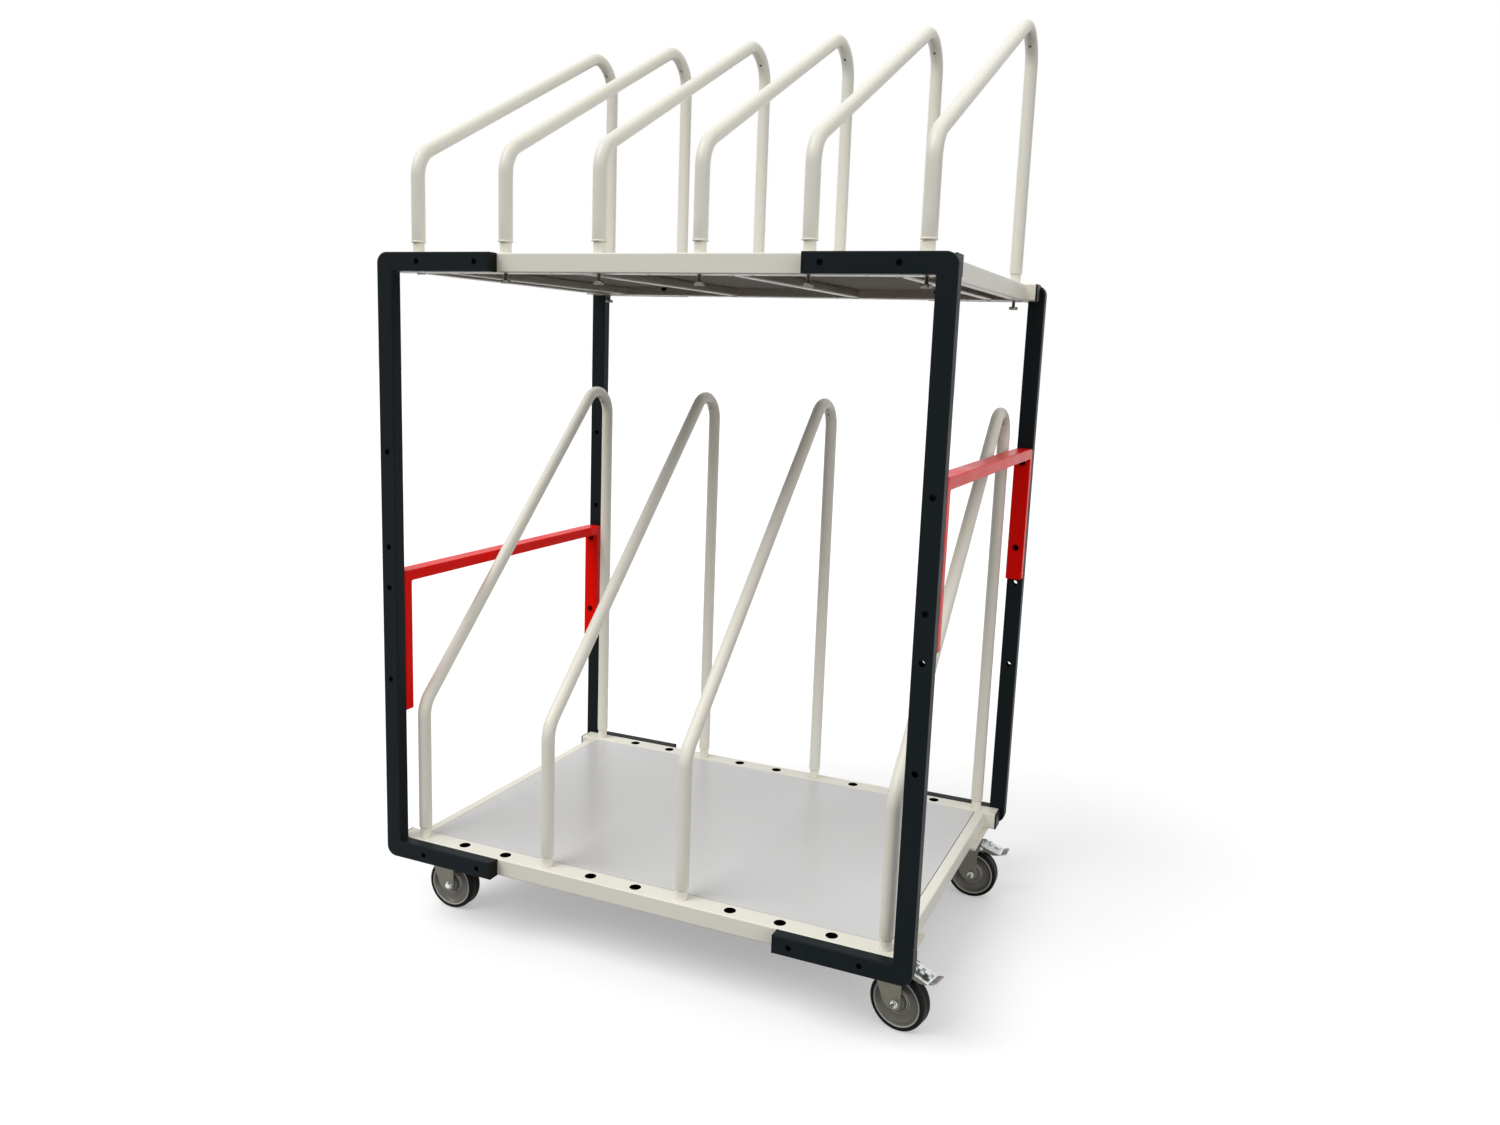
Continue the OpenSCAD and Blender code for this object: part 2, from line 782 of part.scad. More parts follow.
// Wheel body: hub with a step, dished web with a raised ring on each side, and rim
module wheel(sx, sy) {
    hub_half = leg_in - over;
    rim_half = tyre_w / 2 - 2;
    web_half = rim_half - 8;
    ring_r = (hub_d / 2 + core_r - 8 - web_ring) / 2;
    profile = [[axle_bush_d / 2 + run_fit, hub_half], [hub_d / 2 - 4, hub_half],
        [hub_d / 2 - 4, hub_half - 2], [hub_d / 2, hub_half - 2], [hub_d / 2, web_half],
        [ring_r, web_half], [ring_r, web_half + web_ring / 2],
        [ring_r + web_ring, web_half + web_ring / 2], [ring_r + web_ring, web_half],
        [core_r - 8, web_half], [core_r - 5, rim_half], [core_r, rim_half]];
    mirrored = [for (i = [len(profile) - 1 : -1 : 0]) [profile[i][0], -profile[i][1]]];
    color(wheel_grey)
        at_caster(sx, sy)
            translate([trail, 0, axle_z])
                rotate([90, 0, 0])
                    rotate_extrude()
                        polygon(concat(profile, mirrored));
}

module tyre(sx, sy) {
    shoulder = tyre_t / 2;
    color(black)
        at_caster(sx, sy)
            translate([trail, 0, axle_z])
                rotate([90, 0, 0])
                    rotate_extrude() {
                        translate([core_r, -tyre_w / 2])
                            square([tyre_t - shoulder, tyre_w]);
                        translate([core_r, shoulder - tyre_w / 2])
                            square([tyre_t, tyre_w - 2 * shoulder]);
                        for (s = [-1, 1])
                            translate([core_r + tyre_t - shoulder, s * (tyre_w / 2 - shoulder)])
                                circle(shoulder);
                    }
}

// Axle bolt with its head, nut and the bush between the fork legs
module axle(sx, sy) {
    color(zinc)
        at_caster(sx, sy)
            translate([trail, 0, axle_z])
                mirror([0, sx < 0 ? 1 : 0, 0]) {
                    translate([0, leg_out, 0])
                        rotate([-90, 0, 0])
                            cylinder(r = hex_r, h = hex_h, $fn = 6);
                    translate([0, -leg_out - hex_h - thread_end, 0])
                        rod_y(screw_d, 2 * leg_out + hex_h + thread_end);
                    translate([0, -leg_out - hex_h, 0])
                        difference() {
                            rotate([-90, 0, 0])
                                cylinder(r = hex_r, h = hex_h, $fn = 6);
                            translate([0, -over, 0])
                                rod_y(screw_d + 2 * slip_fit, hex_h + 2 * over);
                        }
                    translate([0, -leg_in, 0])
                        difference() {
                            rod_y(axle_bush_d, 2 * leg_in);
                            translate([0, -over, 0])
                                rod_y(screw_d + 2 * slip_fit, 2 * leg_in + 2 * over);
                        }
                }
}

module brake_pedal(sy) {
    color(zinc)
        at_caster(1, sy)
            translate([pivot_x, 0, pivot_z])
                rotate([0, pedal_slope, 0])
                    difference() {
                        union() {
                            translate([-ear_r, -pedal_half_w, ear_r - pedal_t])
                                cube([pedal_l + ear_r, 2 * pedal_half_w, pedal_t]);
                            for (s = [-1, 1])
                                translate([0, s * (pedal_half_w - pedal_t / 2), 0])
                                    rotate([90, 0, 0])
                                        linear_extrude(pedal_t, center = true)
                                            pedal_skirt();
                            translate([pedal_l, -pedal_half_w, ear_r - pedal_t])
                                rotate([0, -toe_turn, 0])
                                    cube([toe_l, 2 * pedal_half_w, pedal_t]);
                            translate([over, -rib_w / 2, ear_r - over])
                                cube([pedal_l * 0.37, rib_w, rib_h + over]);
                            translate([shoe_x - shoe_l / 2, -shoe_w / 2, shoe_z])
                                cube([shoe_l, shoe_w, ear_r - shoe_z - pedal_t / 2]);
                            translate([0, -pin_l / 2, 0])
                                rod_y(pivot_d, pin_l);
                        }
                        for (x = [pedal_l * 0.42, pedal_l * 0.7])
                            translate([x, -pedal_half_w * 0.55, ear_r - pedal_t - over])
                                cube([pedal_l * 0.14, pedal_half_w * 1.1, pedal_t + 2 * over]);
                    }
}

// Skirt of a pedal below its sheet: round at the pivot and drawn up towards the toe
module pedal_skirt() {
    circle(ear_r);
    polygon([[-ear_r, 0], [-ear_r, ear_r], [pedal_l, ear_r], [pedal_l, ear_r - pedal_t],
        [pedal_l - toe_l, ear_r - skirt_h], [0, -ear_r]]);
}

placed() side_frame(-1, -1);  // front_left_frame
placed() side_frame(1, -1);  // front_right_frame
placed() side_frame(-1, 1);  // rear_left_frame
placed() side_frame(1, 1);  // rear_right_frame
placed() arm_caps();
placed() beam(-1, lower_z);  // lower_front_beam
placed() beam(1, lower_z);  // lower_rear_beam
placed() side_rails(lower_z);  // lower_side_rails
placed() cross_rails(lower_z);  // lower_cross_rails
placed() panel(lower_z);  // lower_panel
placed() beam(-1, upper_z);  // upper_front_beam
placed() beam(1, upper_z);  // upper_rear_beam
placed() side_rails(upper_z);  // upper_side_rails
placed() cross_rails(upper_z);  // upper_cross_rails
placed() panel(upper_z);  // upper_panel
placed() beam_caps();
placed() lower_divider(lower_slots[0]);  // lower_divider_1
placed() lower_divider(lower_slots[1]);  // lower_divider_2
placed() lower_divider(lower_slots[2]);  // lower_divider_3
placed() lower_divider(lower_slots[3]);  // lower_divider_4
placed() upper_divider(upper_slots[0]);  // upper_divider_1
placed() upper_divider(upper_slots[1]);  // upper_divider_2
placed() upper_divider(upper_slots[2]);  // upper_divider_3
placed() upper_divider(upper_slots[3]);  // upper_divider_4
placed() upper_divider(upper_slots[4]);  // upper_divider_5
placed() upper_divider(upper_slots[5]);  // upper_divider_6
placed() retaining_bolts(upper_slots[0], [1]);  // retaining_bolts_1
placed() retaining_bolts(upper_slots[1], [-1]);  // retaining_bolts_2
placed() retaining_bolts(upper_slots[2], [-1]);  // retaining_bolts_3
placed() retaining_bolts(upper_slots[3], [-1]);  // retaining_bolts_4
placed() retaining_bolts(upper_slots[4], [-1]);  // retaining_bolts_5
placed() retaining_bolts(upper_slots[5], [-1, 1]);  // retaining_bolts_6
placed() handle(-1, (frame_h - post_hole_inner) / 2);  // left_handle
placed() handle(1, (frame_h + post_hole_outer) / 2);  // right_handle
placed() cap_screws();
placed() sleeve_nuts();
placed() corner_plates();
placed() caster_plates();
placed() caster_screws();
placed() fork(-1, -1);  // front_left_fork
placed() fork(1, -1);  // front_right_fork
placed() fork(-1, 1);  // rear_left_fork
placed() fork(1, 1);  // rear_right_fork
placed() wheel(-1, -1);  // front_left_wheel
placed() wheel(1, -1);  // front_right_wheel
placed() wheel(-1, 1);  // rear_left_wheel
placed() wheel(1, 1);  // rear_right_wheel
placed() tyre(-1, -1);  // front_left_tyre
placed() tyre(1, -1);  // front_right_tyre
placed() tyre(-1, 1);  // rear_left_tyre
placed() tyre(1, 1);  // rear_right_tyre
placed() axle(-1, -1);  // front_left_axle
placed() axle(1, -1);  // front_right_axle
placed() axle(-1, 1);  // rear_left_axle
placed() axle(1, 1);  // rear_right_axle
placed() brake_pedal(-1);  // front_brake_pedal
placed() brake_pedal(1);  // rear_brake_pedal
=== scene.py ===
import bpy
import bmesh
import json
import math
from mathutils import Matrix, Vector


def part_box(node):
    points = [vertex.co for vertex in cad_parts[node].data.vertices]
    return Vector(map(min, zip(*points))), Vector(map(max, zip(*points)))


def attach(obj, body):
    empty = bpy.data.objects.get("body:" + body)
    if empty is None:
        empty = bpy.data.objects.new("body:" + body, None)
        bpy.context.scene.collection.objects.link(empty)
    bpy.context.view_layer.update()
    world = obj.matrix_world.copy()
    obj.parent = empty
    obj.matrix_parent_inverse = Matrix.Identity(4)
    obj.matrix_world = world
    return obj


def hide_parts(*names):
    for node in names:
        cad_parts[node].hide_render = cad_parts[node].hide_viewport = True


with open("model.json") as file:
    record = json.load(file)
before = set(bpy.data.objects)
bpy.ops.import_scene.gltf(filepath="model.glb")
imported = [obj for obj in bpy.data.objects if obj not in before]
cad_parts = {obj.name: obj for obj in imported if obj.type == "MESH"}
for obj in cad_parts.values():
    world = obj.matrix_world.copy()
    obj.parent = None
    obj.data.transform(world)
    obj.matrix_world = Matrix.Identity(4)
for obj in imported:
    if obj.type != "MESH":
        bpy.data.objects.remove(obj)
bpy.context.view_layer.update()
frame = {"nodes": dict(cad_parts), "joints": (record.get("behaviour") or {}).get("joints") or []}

# camera, set from about a hundred edges and hole centres seen in the photo; its place is
# counted from the middle of the decks
photo = {"wide": 1500, "high": 1125}
deckX = sum(corner.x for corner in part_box("lower_panel")) / 2
shot = {"place": (deckX + 1.1292, -2.4847, 1.3682), "yaw": 0.4113, "pitch": 0.172, "roll": 0.036,
        "focal": 1147.77, "centre": (741.16, 551.81)}
ahead = Vector((-math.sin(shot["yaw"]) * math.cos(shot["pitch"]),
                math.cos(shot["yaw"]) * math.cos(shot["pitch"]), -math.sin(shot["pitch"])))
level = Vector((math.cos(shot["yaw"]), math.sin(shot["yaw"]), 0))
above = level.cross(ahead)
right = level * math.cos(shot["roll"]) + above * math.sin(shot["roll"])
up = above * math.cos(shot["roll"]) - level * math.sin(shot["roll"])
lens = bpy.data.cameras.new("camera")
lens.sensor_width = 36
lens.lens = shot["focal"] / photo["wide"] * lens.sensor_width
lens.shift_x = (photo["wide"] / 2 - shot["centre"][0]) / photo["wide"]
lens.shift_y = (shot["centre"][1] - photo["high"] / 2) / photo["wide"]
lens.clip_end = 100
camera = bpy.data.objects.new("camera", lens)
bpy.context.scene.collection.objects.link(camera)
facing = Matrix((right, up, -ahead)).transposed().to_4x4()
camera.matrix_world = Matrix.Translation(shot["place"]) @ facing
bpy.context.scene.camera = camera
bpy.context.scene.view_settings.view_transform = "Standard"
print("camera set")


def linear(code):
    # an sRGB hex colour as the linear values that shaders use
    values = [int(code[i:i + 2], 16) / 255 for i in (1, 3, 5)]
    return tuple(v / 12.92 if v < 0.04045 else ((v + 0.055) / 1.055) ** 2.4 for v in values) + (1,)


def addNode(tree, kind, **inputs):
    # adds a shader node, and sets or links its inputs by name
    made = tree.nodes.new("ShaderNode" + kind)
    for key, value in inputs.items():
        socket = made.inputs[key.replace("_", " ")]
        if isinstance(value, bpy.types.NodeSocket):
            tree.links.new(value, socket)
        else:
            socket.default_value = value
    return made


def newMaterial(name, **fixed):
    material = bpy.data.materials.new(name)
    material.use_nodes = True
    tree = material.node_tree
    shader = tree.nodes["Principled BSDF"]
    for key, value in fixed.items():
        shader.inputs[key.replace("_", " ")].default_value = value
    return material, tree, shader, tree.nodes.new("ShaderNodeTexCoord").outputs["Object"]


def speckle(tree, where, mm, detail=2.0, rough=0.5):
    # noise whose blotches are about this many millimetres wide
    return addNode(tree, "TexNoise", Vector=where, Scale=1000 / mm, Detail=detail,
                   Roughness=rough).outputs["Fac"]


def spread(tree, value, low, high):
    return addNode(tree, "MapRange", Value=value, From_Min=0.0, From_Max=1.0, To_Min=low,
                   To_Max=high).outputs["Result"]


def between(tree, value, first, second):
    ramp = tree.nodes.new("ShaderNodeValToRGB")
    tree.links.new(value, ramp.inputs["Fac"])
    for point, place, code in zip(ramp.color_ramp.elements, (0, 1), (first, second)):
        point.position = place
        point.color = linear(code)
    return ramp.outputs["Color"]


def relief(tree, shader, value, depth):
    bump = addNode(tree, "Bump", Height=value, Distance=depth)
    tree.links.new(bump.outputs["Normal"], shader.inputs["Normal"])


def powderCoat(name, colour, paler, rough, gloss, grain, depth):
    # baked polyester powder sprayed on steel: one even colour, and a faint orange peel of
    # about 2 mm that breaks up the edges of reflections
    material, tree, shader, where = newMaterial(name, IOR=1.5, Specular_IOR_Level=gloss)
    tree.links.new(between(tree, speckle(tree, where, 160, 0), colour, paler), shader.inputs["Base Color"])
    tree.links.new(spread(tree, speckle(tree, where, 90, 0), rough - 0.06, rough + 0.06),
                   shader.inputs["Roughness"])
    if depth:
        relief(tree, shader, speckle(tree, where, grain, 2), depth)
    return material


def platedSteel(name, colour, darker, rough, patch):
    # barrel-plated or blackened steel: metal with cloudy patches a finger wide, and fine
    # marks where the parts knocked together (drawn at 1.2 mm, coarser than real, to show)
    material, tree, shader, where = newMaterial(name, Metallic=1.0)
    tree.links.new(between(tree, speckle(tree, where, patch, 4, 0.6), darker, colour),
                   shader.inputs["Base Color"])
    tree.links.new(spread(tree, speckle(tree, where, 5, 4), rough - 0.1, rough + 0.14),
                   shader.inputs["Roughness"])
    relief(tree, shader, speckle(tree, where, 1.2, 3), 0.00004)
    return material


def moulded(name, colour, paler, rough, gloss, grain):
    # injection-moulded plastic or rubber: a matt skin with a fine even grain from the mould,
    # and scuffs that show as patches of other roughness
    material, tree, shader, where = newMaterial(name, IOR=1.5, Specular_IOR_Level=gloss)
    tree.links.new(between(tree, speckle(tree, where, 30, 3), colour, paler), shader.inputs["Base Color"])
    tree.links.new(spread(tree, speckle(tree, where, 12, 3), rough - 0.12, rough + 0.12),
                   shader.inputs["Roughness"])
    relief(tree, shader, speckle(tree, where, grain, 2), 0.00003)
    return material


def laminate(name, colour, paler):
    # melamine-faced chipboard pressed between smooth plates: a satin sheet, on which
    # reflections smear softly and wiped areas two hands wide differ a little in gloss
    material, tree, shader, where = newMaterial(name, IOR=1.5, Specular_IOR_Level=0.35)
    tree.links.new(between(tree, speckle(tree, where, 400, 0), colour, paler), shader.inputs["Base Color"])
    tree.links.new(spread(tree, speckle(tree, where, 300, 0), 0.2, 0.32), shader.inputs["Roughness"])
    return material


paints = {
    "cream": powderCoat("creamPowderCoat", "#e8e5d8", "#eae7da", 0.32, 0.35, 2.2, 0),
    "anthracite": powderCoat("anthracitePowderCoat", "#10171a", "#141b1e", 0.46, 0.08, 1.1, 0.00005),
    "red": powderCoat("redPowderCoat", "#f20d07", "#f61209", 0.3, 0.06, 2.2, 0.00002),
    "laminate": laminate("melamineFacedBoard", "#c8c8c7", "#d4d4d4"),
    # a darker brownish grey for the boards' undersides
    "boardUnderside": moulded("darkerBoardUnderside", "#77726a", "#7f7a72", 0.75, 0.1, 3.0),
    "zinc": platedSteel("brightZincPlate", "#eceeee", "#c9cccd", 0.16, 14),
    # grey zinc, used on the pedal toes as painted shade of the bright pedal sheet
    "grey": platedSteel("toeZincPaintedShade", "#bdbdba", "#a2a2a0", 0.24, 12),
    # dull zinc on the forks, bolts and plates; on the pedal skirts it is painted shade of the bright sheet
    "sheet": platedSteel("dullZincAndSkirtShade", "#7b7a70", "#66655b", 0.36, 18),
    "oxide": platedSteel("blackOxideSteel", "#0d0d0e", "#080808", 0.45, 9),
    "cap": moulded("blackPolyethylene", "#08090a", "#0c0d0e", 0.42, 0.1, 0.8),
    "wheel": moulded("greyPolypropylene", "#68655d", "#737067", 0.34, 0.5, 1.0),
    # pale plastic: painted highlight on the wheels' rings and rim lip, the lip also worn
    "lip": moulded("wearAndHighlightPolypropylene", "#bdbbb4", "#cfcdc6", 0.3, 0.5, 1.0),
    "tyre": moulded("blackRubber", "#090909", "#0f0f0e", 0.55, 0.12, 0.7),
}
print("materials made:", len(paints))


def axes(x, y, z, origin=(0, 0, 0)):
    # places a drawing whose own x, y and z run along these directions
    return Matrix.Translation(origin) @ Matrix((x, y, z)).transposed().to_4x4()


upright = axes((1, 0, 0), (0, 0, 1), (0, 1, 0))
sideways = axes((0, 1, 0), (0, 0, 1), (1, 0, 0))
standing = axes((1, 0, 0), (0, 0, 1), (0, -1, 0))
upsideDown = Matrix.Rotation(math.pi, 4, "X")


def shift(*by):
    return Matrix.Translation(by)


def asMesh(bm, name):
    bmesh.ops.remove_doubles(bm, verts=bm.verts, dist=1e-6)
    bmesh.ops.recalc_face_normals(bm, faces=bm.faces)
    mesh = bpy.data.meshes.new(name)
    bm.to_mesh(mesh)
    bm.free()
    return mesh


def joinTo(bm, own, place):
    # moves a finished drawing into place and adds it to bm
    bmesh.ops.transform(own, matrix=place, verts=own.verts)
    part = bpy.data.meshes.new("part")
    own.to_mesh(part)
    own.free()
    bm.from_mesh(part)
    bpy.data.meshes.remove(part)


def addPiece(bm, name, paint, body, *nodes):
    piece = bpy.data.objects.new(name, asMesh(bm, name))
    bpy.context.scene.collection.objects.link(piece)
    piece.data.materials.append(paints[paint])
    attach(piece, body)
    if nodes:
        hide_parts(*nodes)
    return piece


def carve(piece, bm):
    # takes the solids in bm out of the piece
    tool = bpy.data.objects.new("tool", asMesh(bm, "tool"))
    bpy.context.scene.collection.objects.link(tool)
    cut = piece.modifiers.new("cut", "BOOLEAN")
    cut.solver = "EXACT"
    cut.object = tool
    graph = bpy.context.evaluated_depsgraph_get()
    carved = bpy.data.meshes.new_from_object(piece.evaluated_get(graph))
    piece.modifiers.clear()
    piece.data = carved
    bpy.data.objects.remove(tool, do_unlink=True)


def finishPart(piece, paint, isPart):
    # gives a second finish to the faces that isPart picks
    piece.data.materials.append(paints[paint])
    for face in piece.data.polygons:
        if isPart(face):
            face.material_index = 1


def depthIn(spot, low, high):
    return min(spot.y - low.y, high.y - spot.y, spot.z - low.z, high.z - spot.z)


def shade(piece, sharp=32, flatArea=None):
    # smooth except over sharp edges; faces larger than flatArea stay flat
    bm = bmesh.new()
    bm.from_mesh(piece.data)
    for face in bm.faces:
        face.smooth = flatArea is None or face.calc_area() < flatArea
    for edge in bm.edges:
        edge.smooth = len(edge.link_faces) == 2 and edge.calc_face_angle(0) < math.radians(sharp)
    bm.to_mesh(piece.data)
    bm.free()


def roundOff(bm, edges, r, steps):
    bmesh.ops.bevel(bm, geom=list(edges), offset=r, offset_type="OFFSET", segments=steps,
                    profile=0.5, affect="EDGES", clamp_overlap=False, material=-1)


def along(edge):
    return abs(edge.verts[0].co.z - edge.verts[1].co.z)


def block(bm, corners, thick, place, edgeR=0, keep=None, steps=3):
    # a sheet drawn by its corners (x, y, rounding), given thickness and then rounded edges;
    # keep(x, y) names corners whose ends stay sharp
    own = bmesh.new()
    base = own.faces.new([own.verts.new((x, y, -thick / 2)) for x, y, r in corners])
    lifted = bmesh.ops.extrude_face_region(own, geom=[base], use_keep_orig=True)["geom"]
    bmesh.ops.translate(own, verts=[v for v in lifted if isinstance(v, bmesh.types.BMVert)],
                        vec=(0, 0, thick))
    for size in sorted({r for x, y, r in corners if r}):
        spots = [(x, y) for x, y, r in corners if r == size]
        turned = [e for e in own.edges if along(e) > thick / 2
                  and any((e.verts[0].co.xy - Vector(spot)).length < 1e-7 for spot in spots)]
        roundOff(own, turned, size, 3 + int(size * 500))
    if edgeR:
        rims = [e for e in own.edges if along(e) < thick / 2
                and not (keep and keep(*((e.verts[0].co + e.verts[1].co) / 2).xy))]
        roundOff(own, rims, edgeR, steps)
    joinTo(bm, own, place)


def rect(wide, high, r, x=0, y=0):
    return [(x + sx * wide / 2, y + sy * high / 2, r) for sx, sy in ((1, 1), (-1, 1), (-1, -1), (1, -1))]


def rod(bm, start, end, r, sides=32):
    start, end = Vector(start), Vector(end)
    turned = (end - start).to_track_quat("Z", "Y").to_matrix().to_4x4()
    bmesh.ops.create_cone(bm, cap_ends=True, segments=sides, radius1=r, radius2=r,
                          depth=(end - start).length, matrix=shift(*((start + end) / 2)) @ turned)


def lathe(bm, profile, place, steps=64):
    # turns a closed outline of (radius, height) points about the z axis of place
    ring = [bm.verts.new(place @ Vector((r, 0, z))) for r, z in profile]
    edges = [bm.edges.new((ring[i], ring[(i + 1) % len(ring)])) for i in range(len(ring))]
    bmesh.ops.spin(bm, geom=ring + edges, cent=place.translation, axis=place.col[2].to_3d(),
                   angle=2 * math.pi, steps=steps, use_merge=True, use_duplicate=False)


# where the CAD decks are
deckTop = {"lower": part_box("lower_front_beam")[1].z, "upper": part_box("upper_front_beam")[1].z}
ends = {"front": -1, "rear": 1}
hands = {"left": -1, "right": 1}

# side frames: C-shaped tube with rounded long edges, drilled through posts and arms
sideFrame = {"high": 1.390, "post": 0.040, "deep": 0.030, "arm": 0.040, "reach": 0.290,
             "outerR": 0.024, "innerR": 0.004, "edgeR": 0.003, "wall": 0.002, "hole": 0.0065,
             "armHoles": (0.107, 0.257), "postHoles": (0.433, 0.648, 0.742, 0.957)}


def frameOutline(inset, reach):
    # the C, its inner sides drawn in by the wall
    s = sideFrame
    low, high = inset, s["high"] - inset
    inner, lowArm, highArm = s["post"] - inset, s["arm"] - inset, s["high"] - s["arm"] + inset
    return [(reach, low, 0), (low, low, s["outerR"] - inset), (low, high, s["outerR"] - inset),
            (reach, high, 0), (reach, highArm, 0), (inner, highArm, s["innerR"] + inset),
            (inner, lowArm, s["innerR"] + inset), (reach, lowArm, 0)]


for end in ends:
    for hand, sx in hands.items():
        node = end + "_" + hand + "_frame"
        low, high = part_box(node)
        corner = (low.x if sx < 0 else high.x, (low.y + high.y) / 2, low.z)
        place = axes((-sx, 0, 0), (0, 0, 1), (0, 1, 0), corner)
        s = sideFrame
        bm = bmesh.new()
        block(bm, frameOutline(0, s["reach"]), s["deep"], place, s["edgeR"],
              lambda x, y: x > s["reach"] - 0.001, 4)
        piece = addPiece(bm, node + "Tube", "anthracite", "frame", node)
        bm = bmesh.new()
        block(bm, frameOutline(s["wall"], s["reach"] + 0.01), s["deep"] - 2 * s["wall"], place)
        carve(piece, bm)
        bm = bmesh.new()
        spots = [(s["post"] / 2, z) for z in s["postHoles"]]
        for x in s["armHoles"]:
            spots += [(x, s["arm"] / 2), (x, s["high"] - s["arm"] / 2)]
        for x, z in spots:
            rod(bm, place @ Vector((x, z, -0.03)), place @ Vector((x, z, 0.03)), s["hole"])
        carve(piece, bm)
        shade(piece, 32, 3e-4)
print("side frames made")

# end caps: plain plugs with a rounded flange; the real plugs are ribbed
cap = {"flange": 0.004, "edgeR": 0.0009, "cornerR": 0.002, "plug": 0.012, "inset": 0.0025}


def endCap(bm, x, y, z, wide, high, sx):
    for thick, size, start, edgeR in ((cap["flange"], 0, 0, cap["edgeR"]),
                                      (cap["plug"], cap["inset"], -cap["plug"], 0)):
        block(bm, rect(wide - 2 * size, high - 2 * size, cap["cornerR"]), thick,
              axes((0, 1, 0), (0, 0, 1), (sx, 0, 0), (x + sx * (start + thick / 2), y, z)), edgeR)


bm = bmesh.new()
for end in ends:
    for hand, sx in hands.items():
        low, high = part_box(end + "_" + hand + "_frame")
        for z in (low.z + sideFrame["arm"] / 2, high.z - sideFrame["arm"] / 2):
            endCap(bm, high.x if sx < 0 else low.x, (low.y + high.y) / 2, z, sideFrame["deep"],
                   sideFrame["arm"], -sx)
shade(addPiece(bm, "armEndCaps", "cap", "frame", "arm_caps"), 32, 3e-4)

bm = bmesh.new()
for deck in deckTop:
    for end in ends:
        low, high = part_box(deck + "_" + end + "_beam")
        middle, size = (low + high) / 2, high - low
        for x, sx in ((low.x, -1), (high.x, 1)):
            endCap(bm, x, middle.y, middle.z, size.y, size.z, sx)
shade(addPiece(bm, "beamEndCaps", "cap", "frame", "beam_caps"), 32, 3e-4)
print("caps made")

# decks: beams with rows of sockets, rails welded between them, and a panel flush with the tops
deck = {"edgeR": 0.003, "wall": 0.002, "pitch": 0.114, "sockets": 11, "socket": 0.013,
        "boltHole": 0.005, "access": 0.0085, "seat": 0.0045, "armHoles": (0.533, 0.383),
        "sideRail": 0.025, "crossRail": 0.020, "crossRails": 4, "boardEdge": 0.0006}
weld = {"wide": 0.0024, "step": 0.0034, "inset": 0.004, "underBoard": 0.022}


def tube(bm, low, high, axis, inset=0, longer=0):
    size = high - low
    wide = (size.y if axis == "x" else size.x) - 2 * inset
    block(bm, rect(wide, size.z - 2 * inset, deck["edgeR"] - inset / 2),
          (size.x if axis == "x" else size.y) + longer,
          shift(*((low + high) / 2)) @ (sideways if axis == "x" else upright))


def bead(bm, start, end):
    # a weld seam: a row of overlapping drops
    start, end = Vector(start), Vector(end)
    count = max(1, round((end - start).length / weld["step"]))
    for i in range(count + 1):
        spot = start.lerp(end, i / count)
        swell = 1 + 0.18 * math.sin(2.3 * i + 40 * spot.x)
        bmesh.ops.create_uvsphere(bm, u_segments=8, v_segments=6, radius=weld["wide"] * swell,
                                  matrix=shift(*spot))


def railSeams(bm, x, wide, y, low, high):
    # the seams of one rail end: up both sides and along the underside
    for side, top in ((x, high[0]), (x + wide, high[1])):
        bead(bm, (side, y, low + weld["inset"]), (side, y, top))
    bead(bm, (x + weld["inset"], y, low), (x + wide - weld["inset"], y, low))


def socketX(i):
    return deckX + (i - (deck["sockets"] - 1) / 2) * deck["pitch"]


